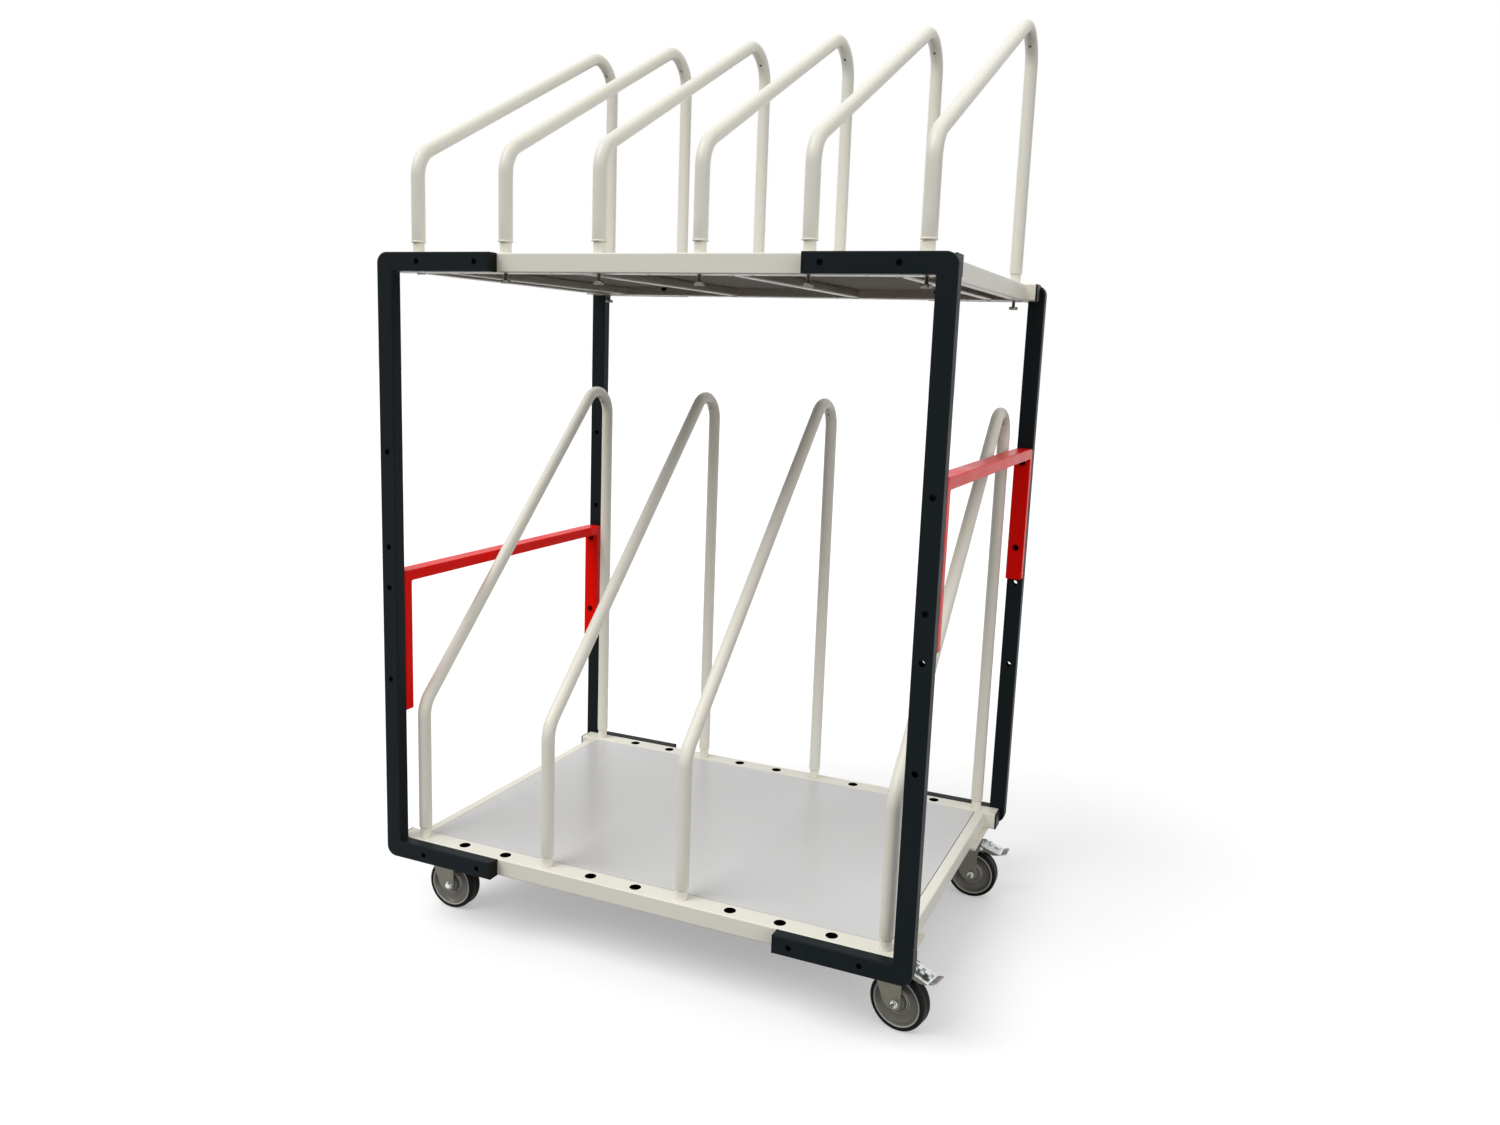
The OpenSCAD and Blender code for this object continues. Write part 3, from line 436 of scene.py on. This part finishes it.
for name in deckTop:
    for end, sy in ends.items():
        node = name + "_" + end + "_beam"
        low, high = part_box(node)
        y, z = (low.y + high.y) / 2, (low.z + high.z) / 2
        bm = bmesh.new()
        tube(bm, low, high, "x")
        piece = addPiece(bm, node + "Tube", "cream", "frame", node)
        bm = bmesh.new()
        tube(bm, low, high, "x", deck["wall"], 0.02)
        carve(piece, bm)
        bm = bmesh.new()
        for i in range(deck["sockets"]):
            x = socketX(i)
            rod(bm, (x, y, z), (x, y, high.z + 0.01), deck["socket"], 40)
            rod(bm, (x, y, low.z - 0.01), (x, y, z - 0.005), deck["boltHole"])
        for reach in deck["armHoles"]:
            for x in (deckX - reach, deckX + reach):
                rod(bm, (x, y, z), (x, y - sy * 0.04, z), deck["access"])
                rod(bm, (x, y + sy * 0.005, z), (x, y + sy * 0.04, z), deck["seat"])
        carve(piece, bm)
        # the beam is bare black steel inside
        finishPart(piece, "oxide", lambda face: depthIn(face.center, low, high) > deck["wall"] / 2)
        shade(piece, 32, 3e-4)
    seams = bmesh.new()
    railLow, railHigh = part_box(name + "_side_rails")
    lowZ, under, top = railLow.z, railHigh.z - weld["underBoard"], railHigh.z - weld["inset"]
    bm = bmesh.new()
    tube(bm, railLow, Vector((railLow.x + deck["sideRail"], railHigh.y, railHigh.z)), "y")
    tube(bm, Vector((railHigh.x - deck["sideRail"], railLow.y, railLow.z)), railHigh, "y")
    shade(addPiece(bm, name + "SideRails", "cream", "frame", name + "_side_rails"), 32, 3e-4)
    for y in (railLow.y, railHigh.y):
        railSeams(seams, railLow.x, deck["sideRail"], y, lowZ, (top, under))
        railSeams(seams, railHigh.x - deck["sideRail"], deck["sideRail"], y, lowZ, (under, top))
    low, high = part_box(name + "_cross_rails")
    bm = bmesh.new()
    for i in range(deck["crossRails"]):
        x = low.x + (high.x - low.x - deck["crossRail"]) * i / (deck["crossRails"] - 1)
        tube(bm, Vector((x, low.y, low.z)), Vector((x + deck["crossRail"], high.y, high.z)), "y")
        for y in (low.y, high.y):
            railSeams(seams, x, deck["crossRail"], y, low.z, 2 * [high.z - weld["inset"]])
    shade(addPiece(bm, name + "CrossRails", "cream", "frame", name + "_cross_rails"), 32, 3e-4)
    shade(addPiece(seams, name + "WeldSeams", "cream", "frame"), 60)
    low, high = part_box(name + "_panel")
    bm = bmesh.new()
    block(bm, rect(high.x - low.x, high.y - low.y, 0.001), high.z - low.z,
          shift(*((low + high) / 2)), deck["boardEdge"], None, 2)
    piece = addPiece(bm, name + "Board", "laminate", "frame", name + "_panel")
    # the faces underneath take the darker brownish grey
    finishPart(piece, "boardUnderside", lambda face: face.normal.z < -0.5)
    shade(piece, 32, 3e-4)
print("decks made")

# tube dividers: one bent tube on two spigots
divider = {"tube": 0.015, "spigot": 0.0125, "show": 0.024, "legY": 0.410, "rim": 0.0016,
           "sunk": 0.0377, "lead": 0.002, "vent": 0.0035, "undercut": 0.0012, "collar": 0.0165,
           "collarHigh": 0.003, "overlap": 0.001, "facet": 0.06}
kinds = {"lower": {"slots": (0, 3, 6, 10), "bend": 0.326, "slope": 44.2, "frontR": 0.070, "topR": 0.062},
         "upper": {"slots": (0, 2, 4, 6, 8, 10), "bend": 0.205, "slope": 26.8, "frontR": 0.070,
                   "topR": 0.075}}


def bentTube(bm, start, r, sides, moves):
    # pushes a disc upwards, then along straight runs and round bends in the y-z plane
    turn, spot = math.radians(90), Vector(start)
    made = bmesh.ops.create_circle(bm, cap_ends=True, segments=sides, radius=r, matrix=shift(*spot))
    face = made["verts"][0].link_faces[0]
    for kind, amount, bendR, steps in moves:
        if kind == "run":
            # in short lengths, because facets a metre long catch their own shadow
            count = math.ceil(amount / divider["facet"])
            push = Vector((0, math.cos(turn), math.sin(turn))) * amount / count
            for i in range(count):
                out = bmesh.ops.extrude_face_region(bm, geom=[face])["geom"]
                bmesh.ops.translate(bm, verts=[v for v in out if isinstance(v, bmesh.types.BMVert)],
                                    vec=push)
                face = [f for f in out if isinstance(f, bmesh.types.BMFace)][0]
            spot = spot + push * count
        else:
            centre = spot + Vector((0, math.sin(turn), -math.cos(turn))) * bendR
            out = bmesh.ops.spin(bm, geom=list(face.verts) + list(face.edges) + [face], cent=centre,
                                 axis=(1, 0, 0), angle=-math.radians(amount), steps=steps,
                                 use_duplicate=False)["geom_last"]
            turn = turn - math.radians(amount)
            spot = centre - Vector((0, math.sin(turn), -math.cos(turn))) * bendR
        face = [f for f in out if isinstance(f, bmesh.types.BMFace)][0]


def spigot(bm, place):
    # a turned pin with a chamfered end, undercut where it enters the tube
    d = divider
    low, high, neck = -d["sunk"], d["show"], d["spigot"] - d["undercut"]
    lathe(bm, [(0, low), (d["spigot"] - d["lead"], low), (d["spigot"], low + d["lead"]),
               (d["spigot"], high - 2.5 * d["undercut"]), (neck, high - 2 * d["undercut"]),
               (neck, high + d["overlap"]), (0, high + d["overlap"])], place, 40)


def collar(bm, place):
    # a low pressed ring round the foot of the tube
    d = divider
    inner, outer, low, high = d["tube"] - 0.001, d["collar"], d["show"], d["show"] + d["collarHigh"]
    lathe(bm, [(inner, low - 0.0006), (outer - 0.001, low - 0.0006), (outer, low + 0.0006),
               (outer, high - 0.0012), (outer - 0.0008, high), (inner, high)], place, 48)


for name, kind in kinds.items():
    d, slope = divider, math.radians(kind["slope"])
    frontCut = kind["frontR"] * math.tan(math.radians(90 - kind["slope"]) / 2)
    topCut = kind["topR"] * math.tan(math.radians(90 + kind["slope"]) / 2)
    span = 2 * d["legY"]
    peak = kind["bend"] + span * math.tan(slope)
    for number, socket in enumerate(kind["slots"], 1):
        node = name + "_divider_" + str(number)
        x, z = socketX(socket), deckTop[name]
        bm = bmesh.new()
        bentTube(bm, (x, -d["legY"], z + d["show"]), d["tube"], 48,
                 (("run", kind["bend"] - frontCut - d["show"], 0, 0),
                  ("bend", 90 - kind["slope"], kind["frontR"], 14),
                  ("run", span / math.cos(slope) - frontCut - topCut, 0, 0),
                  ("bend", 90 + kind["slope"], kind["topR"], 30),
                  ("run", peak - topCut - d["show"], 0, 0)))
        bmesh.ops.remove_doubles(bm, verts=bm.verts, dist=1e-6)
        roundOff(bm, {e for f in bm.faces if len(f.verts) > 4 for e in f.edges}, d["rim"], 3)
        for y in (-d["legY"], d["legY"]):
            spigot(bm, shift(x, y, z))
        if name == "upper":
            collar(bm, shift(x, -d["legY"], z))
        piece = addPiece(bm, node + "Tube", "cream", node, node)
        # vent hole for the zinc bath, on the outer side of the top bend
        bm = bmesh.new()
        centre = Vector((x, d["legY"] - kind["topR"], z + peak - topCut))
        out = Vector((0, 1, 1)).normalized()
        rod(bm, centre + out * (kind["topR"] - 0.03), centre + out * kind["topR"], d["vent"], 20)
        carve(piece, bm)
        shade(piece, 35)
print("dividers made")

# retaining bolts: low round heads on a threaded shank
bolt = {"head": 0.0105, "headHigh": 0.007, "recess": 0.004, "dent": 0.0006, "bevel": 0.001,
        "shank": 0.004, "length": 0.046, "thread": 0.00125, "cut": 0.0006}


def threaded(r, low, high):
    # half outline of a thread as plain rings
    inner = r - bolt["cut"]
    points = [(0, low), (inner, low)]
    for i in range(int((high - low) / bolt["thread"])):
        points += [(r, low + (i + 0.5) * bolt["thread"]), (inner, low + (i + 1) * bolt["thread"])]
    return points + [(inner, high), (0, high)]


for number in range(1, 7):
    node = "retaining_bolts_" + str(number)
    low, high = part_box(node)
    x, count = (low.x + high.x) / 2, 2 if high.y - low.y > 0.1 else 1
    bm = bmesh.new()
    for y in (low.y + bolt["head"], high.y - bolt["head"])[:count]:
        place = shift(x, y, low.z)
        r, t, b = bolt["head"], bolt["headHigh"], bolt["bevel"]
        lathe(bm, [(0, bolt["dent"]), (r - bolt["recess"], bolt["dent"]), (r - bolt["recess"] + b, 0),
                   (r - b, 0), (r - 0.3 * b, 0.3 * b), (r, b), (r, t - b), (r - 0.3 * b, t - 0.3 * b),
                   (r - b, t), (0, t)], place, 48)
        lathe(bm, threaded(bolt["shank"], t - b, t + bolt["length"]), place, 32)
    shade(addPiece(bm, "dividerBolts" + str(number), "sheet", "upper_divider_" + str(number), node), 40)
print("bolts made")

# handles: U-shaped tubes between the posts
handle = {"wide": 0.040, "thick": 0.025, "high": 0.330, "deep": 0.870, "outerR": 0.012, "innerR": 0.004,
          "edgeR": 0.003, "wall": 0.002, "over": 0.035, "drop": 0.215, "access": 0.0085, "seat": 0.0045}


def handleOutline(inset):
    h = handle
    out, low, top = h["deep"] / 2 - inset, -h["high"] + inset, -inset
    inn, under = h["deep"] / 2 - h["thick"] + inset, -h["thick"] + inset
    outerR, innerR = h["outerR"] - inset, h["innerR"] + inset
    return [(-out, low, 0), (-out, top, outerR), (out, top, outerR), (out, low, 0),
            (inn, low, 0), (inn, under, innerR), (-inn, under, innerR), (-inn, low, 0)]


for hand in hands:
    node = hand + "_handle"
    low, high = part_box(node)
    x, top = (low.x + high.x) / 2, high.z
    place = shift(x, 0, top) @ sideways
    h = handle
    bm = bmesh.new()
    block(bm, handleOutline(0), h["wide"], place, h["edgeR"], None, 4)
    piece = addPiece(bm, node + "Tube", "red", "frame", node)
    bm = bmesh.new()
    block(bm, handleOutline(h["wall"]), h["wide"] - 2 * h["wall"], place)
    carve(piece, bm)
    bm = bmesh.new()
    for z in (top - h["over"], top - h["over"] - h["drop"]):
        for sy in ends.values():
            y = sy * (h["deep"] / 2 - h["thick"] / 2)
            rod(bm, (x, y, z), (x, y - sy * 0.02, z), h["access"])
            rod(bm, (x, y + sy * 0.002, z), (x, y + sy * 0.02, z), h["seat"])
    carve(piece, bm)
    shade(piece, 32, 3e-4)
print("handles made")

# casters: each is drawn with its swivel axis on z and its wheel trailing along x
joints = {joint["name"]: joint for joint in frame["joints"]}
caster = {"high": 0.160, "legIn": 0.0225, "sheet": 0.003, "sheetR": 0.0008, "head": 0.036,
          "crown": 0.1385, "dish": 0.1505, "endR": 0.014, "plate": (0.080, 0.100), "plateR": 0.006,
          "race": 0.006, "screwX": 0.030, "screwY": 0.040, "kingPin": 0.006, "pivot": (0.045, 0.1395),
          "bolt": 0.004, "hex": 0.0075, "hexHigh": 0.0055, "threadEnd": 0.010, "washer": 0.0085,
          "washerHigh": 0.0013, "ear": 0.0065, "slack": 0.0002}
wheel = {"r": 0.0625, "wide": 0.037, "tyre": 0.0085, "web": 0.0085, "rim": 0.0165, "bush": 0.006,
         "rings": ((0.0212, 0.0234, 0.0026), (0.0258, 0.0274, 0.0020))}
pedal = {"long": 0.049, "half": 0.0219, "sheet": 0.0025, "skirt": 0.012, "slope": 17, "toe": 0.016,
         "toeTurn": 34, "toeR": 0.006, "pin": 0.003, "pinHead": 0.0044, "pinLong": 0.054,
         "shoe": (0.010, 0.022, 0.013, -0.0148), "channel": (0.002, 0.045), "channelWide": 0.021,
         "channelHigh": 0.0048, "channelWall": 0.0012, "slots": ((0.016, 0.008), (0.034, 0.013)),
         "slotWide": 0.014}


def hexagon(bm, place, r, high, lip=0.0008):
    # a nut or bolt head with its corners turned off at the outer end
    own = bmesh.new()
    bmesh.ops.create_cone(own, cap_ends=True, segments=6, radius1=r, radius2=r, depth=high,
                          matrix=shift(0, 0, high / 2))
    roundOff(own, [e for e in own.edges if min(v.co.z for v in e.verts) > high / 2], lip, 2)
    joinTo(bm, own, place)


def casterTop(plates, screws, fixed, screwTop):
    # plate, race and king pin, which stay with the deck, and the four plate screws
    c = caster
    top, under = c["high"], c["high"] - c["sheet"]
    block(plates, rect(*c["plate"], c["plateR"]), c["sheet"], fixed @ shift(0, 0, top - c["sheet"] / 2),
          c["sheetR"])
    r, low = c["head"], under - c["race"]
    lathe(plates, [(0, under), (r - 0.006, under), (r - 0.0065, under - 0.002),
                   (r - 0.0085, under - 0.0045), (r - 0.012, low), (0, low)], fixed)
    pin, end = c["kingPin"], c["crown"] - 0.0033
    lathe(plates, [(0, under), (pin, under), (pin, end + 0.003), (0.010, end + 0.003),
                   (0.0095, end + 0.0015), (0.007, end), (0, end)], fixed, 40)
    for x in (-c["screwX"], c["screwX"]):
        for y in (-c["screwY"], c["screwY"]):
            spot = fixed @ shift(x, y, 0)
            hexagon(screws, spot @ shift(0, 0, under) @ upsideDown, c["hex"], c["hexHigh"])
            lathe(screws, threaded(c["bolt"], under - 0.001, screwTop), spot, 24)


def fork(bm, home, trail, braked):
    # two legs, a crown sheet and the dished head that runs under the race
    c = caster
    head, crown, sheet, ear, endR = c["head"], c["crown"], c["sheet"], c["ear"], c["endR"]
    pivotX, pivotZ = c["pivot"]
    tip, back, top = wheel["r"] - endR, trail + endR, crown + sheet
    leg = [(-head, top, 0), (-head, crown - sheet, 0.006), (trail - 1.55 * endR, tip, endR),
           (back, tip, endR)]
    if braked:
        leg += [(back, crown - pedal["skirt"], 0.004), (pivotX + 0.002, pivotZ - ear, 0.003),
                (pivotX + ear, pivotZ - ear, 0.0055), (pivotX + ear, pivotZ + ear, 0.0055),
                (pivotX - 0.006, pivotZ + ear, 0.003), (trail, top, 0.002)]
    else:
        leg += [(back, top, 0)]
    for sy in (-1, 1):
        block(bm, leg, sheet, home @ shift(0, sy * (c["legIn"] + sheet / 2), 0) @ standing, c["sheetR"])
    reach = pivotX - ear - 0.001 if braked else back
    half = c["legIn"] + sheet - 0.0005
    block(bm, [(-head, -half, 0.004), (reach, -half, 0.002), (reach, half, 0.002), (-head, half, 0.004)],
          sheet, home @ shift(0, 0, crown + sheet / 2), 0.0006)
    hole, dish = c["kingPin"] + c["slack"] / 2, c["dish"]
    lathe(bm, [(hole, crown), (head - 0.003, crown), (head, crown + 0.0025), (head, crown + 0.005),
               (head - 0.001, dish - 0.001), (head - 0.002, dish), (head - 0.0035, dish),
               (head - 0.005, dish - 0.0015), (hole, dish - 0.0015)], home, 72)


def axleBolt(bm, out):
    # hexagon head, washers, nut and the bush between the legs
    c = caster
    face, hole, bush = c["legIn"] + c["sheet"], c["bolt"] + c["slack"], wheel["bush"]
    for side in (out, out @ upsideDown):
        lathe(bm, [(hole, face), (c["washer"], face), (c["washer"], face + 0.7 * c["washerHigh"]),
                   (c["washer"] - 0.0003, face + c["washerHigh"]), (hole, face + c["washerHigh"])], side, 36)
        hexagon(bm, side @ shift(0, 0, face + c["washerHigh"]), c["hex"], c["hexHigh"] - c["washerHigh"])
    lathe(bm, [(0, -face), (c["bolt"], -face), (c["bolt"], face + 0.004), (0, face + 0.004)], out, 24)
    lathe(bm, [(hole, -c["legIn"]), (bush, -c["legIn"]), (bush, c["legIn"]), (hole, c["legIn"])], out, 32)


def wheelBody(bm, across):
    # stepped hub, dished web and rim
    w = wheel
    core, rim, web, hub, bore = w["r"] - w["tyre"], w["rim"], w["web"], caster["legIn"], w["bush"] + 0.00005
    side = [(bore, 0), (bore, hub - 0.0015), (0.008, hub - 0.001), (0.0138, hub - 0.001),
            (0.0145, hub - 0.0017), (0.0148, hub - 0.003), (0.018, hub - 0.0034), (0.0188, hub - 0.0042),
            (0.0195, web + 0.0006), (0.0205, web), (core - 0.0105, web), (core - 0.0085, web + 0.0014),
            (core - 0.006, rim - 0.0014), (core - 0.0045, rim - 0.0004), (core, rim - 0.0004), (core, 0)]
    lathe(bm, side[:-1] + [(r, -z) for r, z in reversed(side[:-1])], across, 96)


def wheelLip(bm, across):
    # raised rings of the web and the rim's lip in pale plastic: painted highlight on both, with wear on the
    # lip
    w = wheel
    edge, rim = w["r"] - w["tyre"], w["rim"]
    for side in (across, across @ upsideDown):
        for inner, outer, high in w["rings"]:
            top = w["web"] + high
            lathe(bm, [(inner, w["web"] - 0.0005), (inner + 0.0003, top - 0.0004), (inner + 0.0007, top),
                       (outer - 0.0007, top), (outer - 0.0003, top - 0.0004), (outer, w["web"] - 0.0005)],
                  side, 72)
        lathe(bm, [(edge - 0.0036, rim - 0.001), (edge - 0.0034, rim + 0.0006), (edge - 0.0028, rim + 0.0011),
                   (edge - 0.0018, rim + 0.0011), (edge - 0.001, rim + 0.0006), (edge - 0.0006, rim - 0.001)],
              side, 96)


def tyreBand(bm, across):
    # rounded shoulders, a flat tread and a faint moulding line round its middle
    core, w = wheel["r"] - wheel["tyre"], wheel["wide"] / 2
    tread = [(core, w - 0.0024), (core + 0.001, w - 0.0008), (core + 0.0022, w), (core + 0.0036, w),
             (core + 0.0052, w - 0.0005), (core + 0.0068, w - 0.0019), (core + 0.0079, w - 0.0038),
             (core + 0.0084, w - 0.006), (core + 0.0085, w - 0.0085), (core + 0.0085, 0.0004),
             (core + 0.0083, 0)]
    lathe(bm, tread + [(r, -z) for r, z in reversed(tread[:-1])], across, 96)


def pedalPieces(end, home):
    # bright pressed sheet, with a raised channel, slots, a shoe, and skirts and a turned-up toe drawn in
    # darker zinc as painted shade
    p, ear, sheet = pedal, caster["ear"], pedal["sheet"]
    body = end + "_pedal"
    own = home @ shift(caster["pivot"][0], 0, caster["pivot"][1])
    own = own @ Matrix.Rotation(math.radians(p["slope"]), 4, "Y")
    face = ear - sheet / 2
    bm = bmesh.new()
    plate = [(-ear, -p["half"], 0.002), (p["long"] + 0.001, -p["half"], 0),
             (p["long"] + 0.001, p["half"], 0), (-ear, p["half"], 0.002)]
    block(bm, plate, sheet, own @ shift(0, 0, face), 0.0008)
    piece = addPiece(bm, end + "Pedal", "zinc", body, end + "_brake_pedal")
    openings = bmesh.new()
    for x, long in p["slots"]:
        block(openings, rect(long, p["slotWide"], 0.001, x), 0.02, own @ shift(0, 0, face))
    tongues = openings.copy()
    carve(piece, openings)
    shade(piece, 35, 3e-4)

    # the channel: a top and two walls, open towards the toe
    bm = bmesh.new()
    start, stop = p["channel"]
    wall, half, top = p["channelWall"], p["channelWide"] / 2, ear + p["channelHigh"]
    block(bm, rect(stop - start, 2 * half, 0.0015, (start + stop) / 2), wall,
          own @ shift(0, 0, top - wall / 2), 0.0005, None, 2)
    for sy in (-1, 1):
        block(bm, rect(stop - start, wall, 0, (start + stop) / 2), p["channelHigh"],
              own @ shift(0, sy * (half - wall / 2), ear + p["channelHigh"] / 2 - 0.0004), 0)
    piece = addPiece(bm, end + "PedalChannel", "zinc", body)
    carve(piece, tongues)
    shade(piece, 35, 3e-4)

    # the toe, and the tongue bent down in the last slot
    bm = bmesh.new()
    toe = own @ shift(p["long"], 0, face) @ Matrix.Rotation(-math.radians(p["toeTurn"]), 4, "Y")
    block(bm, [(-0.001, -p["half"], 0), (p["toe"], -p["half"], p["toeR"]),
               (p["toe"], p["half"], p["toeR"]), (-0.001, p["half"], 0)], sheet, toe, 0.0008)
    # the toe is the bright sheet turned up, drawn in grey zinc: painted shade
    shade(addPiece(bm, end + "PedalToe", "grey", body), 35, 3e-4)
    bm = bmesh.new()
    x, long = p["slots"][1]
    block(bm, rect(long * 0.75, p["slotWide"] * 0.5, 0.001, x + long * 0.12), sheet * 0.6,
          own @ shift(0, 0, ear + p["channelHigh"] - sheet), 0.0005)
    shade(addPiece(bm, end + "PedalTongue", "zinc", body), 35, 3e-4)

    # skirts, then the shoe that presses on the tyre, then the pin
    bm = bmesh.new()
    skirt = [(-ear, ear - 0.0006, 0.001), (-ear, -ear, 0.006), (ear, -ear, 0.006),
             (p["long"] - p["toe"], ear - p["skirt"], 0.004), (p["long"], ear - sheet, 0.001),
             (p["long"] - 0.002, ear - 0.0006, 0)]
    for sy in (-1, 1):
        block(bm, skirt, sheet, own @ shift(0, sy * (p["half"] - 0.0004 - sheet / 2), 0) @ standing, 0.0008)
    # the skirts are the sides of the bright sheet, drawn in dull zinc: painted shade
    shade(addPiece(bm, end + "PedalSkirts", "sheet", body), 35, 3e-4)
    bm = bmesh.new()
    start, stop, half, low = p["shoe"]
    high = face - low
    block(bm, rect(stop - start, 2 * half, 0.001, (start + stop) / 2), high,
          own @ shift(0, 0, low + high / 2), 0.0005)
    shade(addPiece(bm, end + "PedalShoe", "oxide", body), 35, 3e-4)
    bm = bmesh.new()
    half, r, pin = p["pinLong"] / 2, p["pinHead"], p["pin"]
    lathe(bm, [(0, -half), (r - 0.0002, -half), (r, 0.001 - half), (pin, 0.0014 - half),
               (pin, half - 0.0014), (r, half - 0.001), (r - 0.0002, half), (0, half)],
          own @ standing, 32)
    shade(addPiece(bm, end + "PedalPin", "zinc", body), 35)


plates, screws = bmesh.new(), bmesh.new()
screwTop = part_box("caster_screws")[1].z
for end in ends:
    for hand in hands:
        spot = end + "_" + hand
        swivel = Vector(joints[spot + "_swivel_turn"]["pos_m"])
        axle = Vector(joints[spot + "_wheel_spin"]["pos_m"])
        turn = math.atan2(axle.y - swivel.y, axle.x - swivel.x)
        trail = (axle - swivel).xy.length
        fixed = shift(swivel.x, swivel.y, 0)
        home = fixed @ Matrix.Rotation(turn, 4, "Z")
        across = home @ shift(trail, 0, wheel["r"]) @ standing
        braked = hand == "right"
        out = across if braked else across @ upsideDown
        casterTop(plates, screws, fixed, screwTop)
        bm = bmesh.new()
        fork(bm, home, trail, braked)
        shade(addPiece(bm, spot + "Fork", "sheet", spot + "_swivel", spot + "_fork"), 35, 4e-4)
        bm = bmesh.new()
        axleBolt(bm, out)
        shade(addPiece(bm, spot + "AxleBolt", "zinc", spot + "_swivel", spot + "_axle"), 35)
        bm = bmesh.new()
        c = caster
        start = c["legIn"] + c["sheet"] + c["hexHigh"] - 0.001
        lathe(bm, threaded(c["bolt"], start, start + 0.001 + c["threadEnd"]), out, 32)
        shade(addPiece(bm, spot + "AxleThread", "sheet", spot + "_swivel"), 35)
        bm = bmesh.new()
        wheelBody(bm, across)
        shade(addPiece(bm, spot + "WheelBody", "wheel", spot + "_wheel", spot + "_wheel"), 40)
        bm = bmesh.new()
        wheelLip(bm, across)
        shade(addPiece(bm, spot + "WheelLip", "lip", spot + "_wheel"), 40)
        bm = bmesh.new()
        tyreBand(bm, across)
        shade(addPiece(bm, spot + "TyreBand", "tyre", spot + "_wheel", spot + "_tyre"), 40)
        if braked:
            pedalPieces(end, home)
shade(addPiece(plates, "casterTops", "sheet", "frame", "caster_plates"), 35, 4e-4)
shade(addPiece(screws, "casterScrews", "zinc", "frame", "caster_screws"), 25)
print("casters made")

# what is carried over from the CAD as it is
carried = {"corner_plates": "cream", "cap_screws": "oxide", "sleeve_nuts": "oxide"}
for node, paint in carried.items():
    body = frame["nodes"][node].data
    body.materials.clear()
    body.materials.append(paints[paint])
print("carried over:", len(carried))

# a pale floor that shows white to the camera and in reflections, keeps the shadow and
# throws little light up
studio = {"floorSize": 40, "floorDull": "#161616", "floorPale": "#e2e2e2", "floorLift": 0.34,
          "glow": 0.6}
bm = bmesh.new()
bmesh.ops.create_grid(bm, x_segments=1, y_segments=1, size=studio["floorSize"])
floor = bpy.data.objects.new("floor", asMesh(bm, "floor"))
bpy.context.scene.collection.objects.link(floor)


def seenWhite(tree):
    # 1 for rays that show the background: straight, reflected or through glass
    path = tree.nodes.new("ShaderNodeLightPath")
    total = path.outputs["Is Camera Ray"]
    for name in ("Is Glossy Ray", "Is Transmission Ray"):
        added = tree.nodes.new("ShaderNodeMath")
        added.operation = "MAXIMUM"
        tree.links.new(total, added.inputs[0])
        tree.links.new(path.outputs[name], added.inputs[1])
        total = added.outputs[0]
    return total


def mixed(tree, first, second, end):
    # first for the light that falls on things, second for what is seen
    mix = addNode(tree, "MixShader", Fac=seenWhite(tree))
    tree.links.new(first.outputs[0], mix.inputs[1])
    tree.links.new(second.outputs[0], mix.inputs[2])
    tree.links.new(mix.outputs[0], tree.nodes[end].inputs["Surface"])


material = bpy.data.materials.new("paleFloor")
material.use_nodes = True
tree = material.node_tree
tree.nodes.remove(tree.nodes["Principled BSDF"])
dull = addNode(tree, "BsdfDiffuse", Color=linear(studio["floorDull"]))
pale = addNode(tree, "BsdfDiffuse", Color=linear(studio["floorPale"]))
lift = addNode(tree, "Emission", Color=linear("#ffffff"), Strength=studio["floorLift"])
lifted = addNode(tree, "AddShader")
tree.links.new(pale.outputs[0], lifted.inputs[0])
tree.links.new(lift.outputs[0], lifted.inputs[1])
mixed(tree, dull, lifted, "Material Output")
floor.data.materials.append(material)

world = bpy.data.worlds.new("studio")
world.use_nodes = True
bpy.context.scene.world = world
tree = world.node_tree
glow = tree.nodes["Background"]
glow.inputs["Color"].default_value = linear("#ffffff")
glow.inputs["Strength"].default_value = studio["glow"]
white = addNode(tree, "Background", Color=linear("#ffffff"), Strength=1.0)
mixed(tree, glow, white, "World Output")


def softLamp(name, fromWhere, spreadAngle, strength):
    lamp = bpy.data.lights.new(name, "SUN")
    lamp.angle = math.radians(spreadAngle)
    lamp.energy = strength
    made = bpy.data.objects.new(name, lamp)
    bpy.context.scene.collection.objects.link(made)
    made.matrix_world = Vector(fromWhere).to_track_quat("Z", "Y").to_matrix().to_4x4()


softLamp("frontLamp", (-0.4, -0.5, 0.77), 40, 1.72)
softLamp("sideLamp", (0.85, -0.45, 0.25), 50, 0.7)
print("light set")
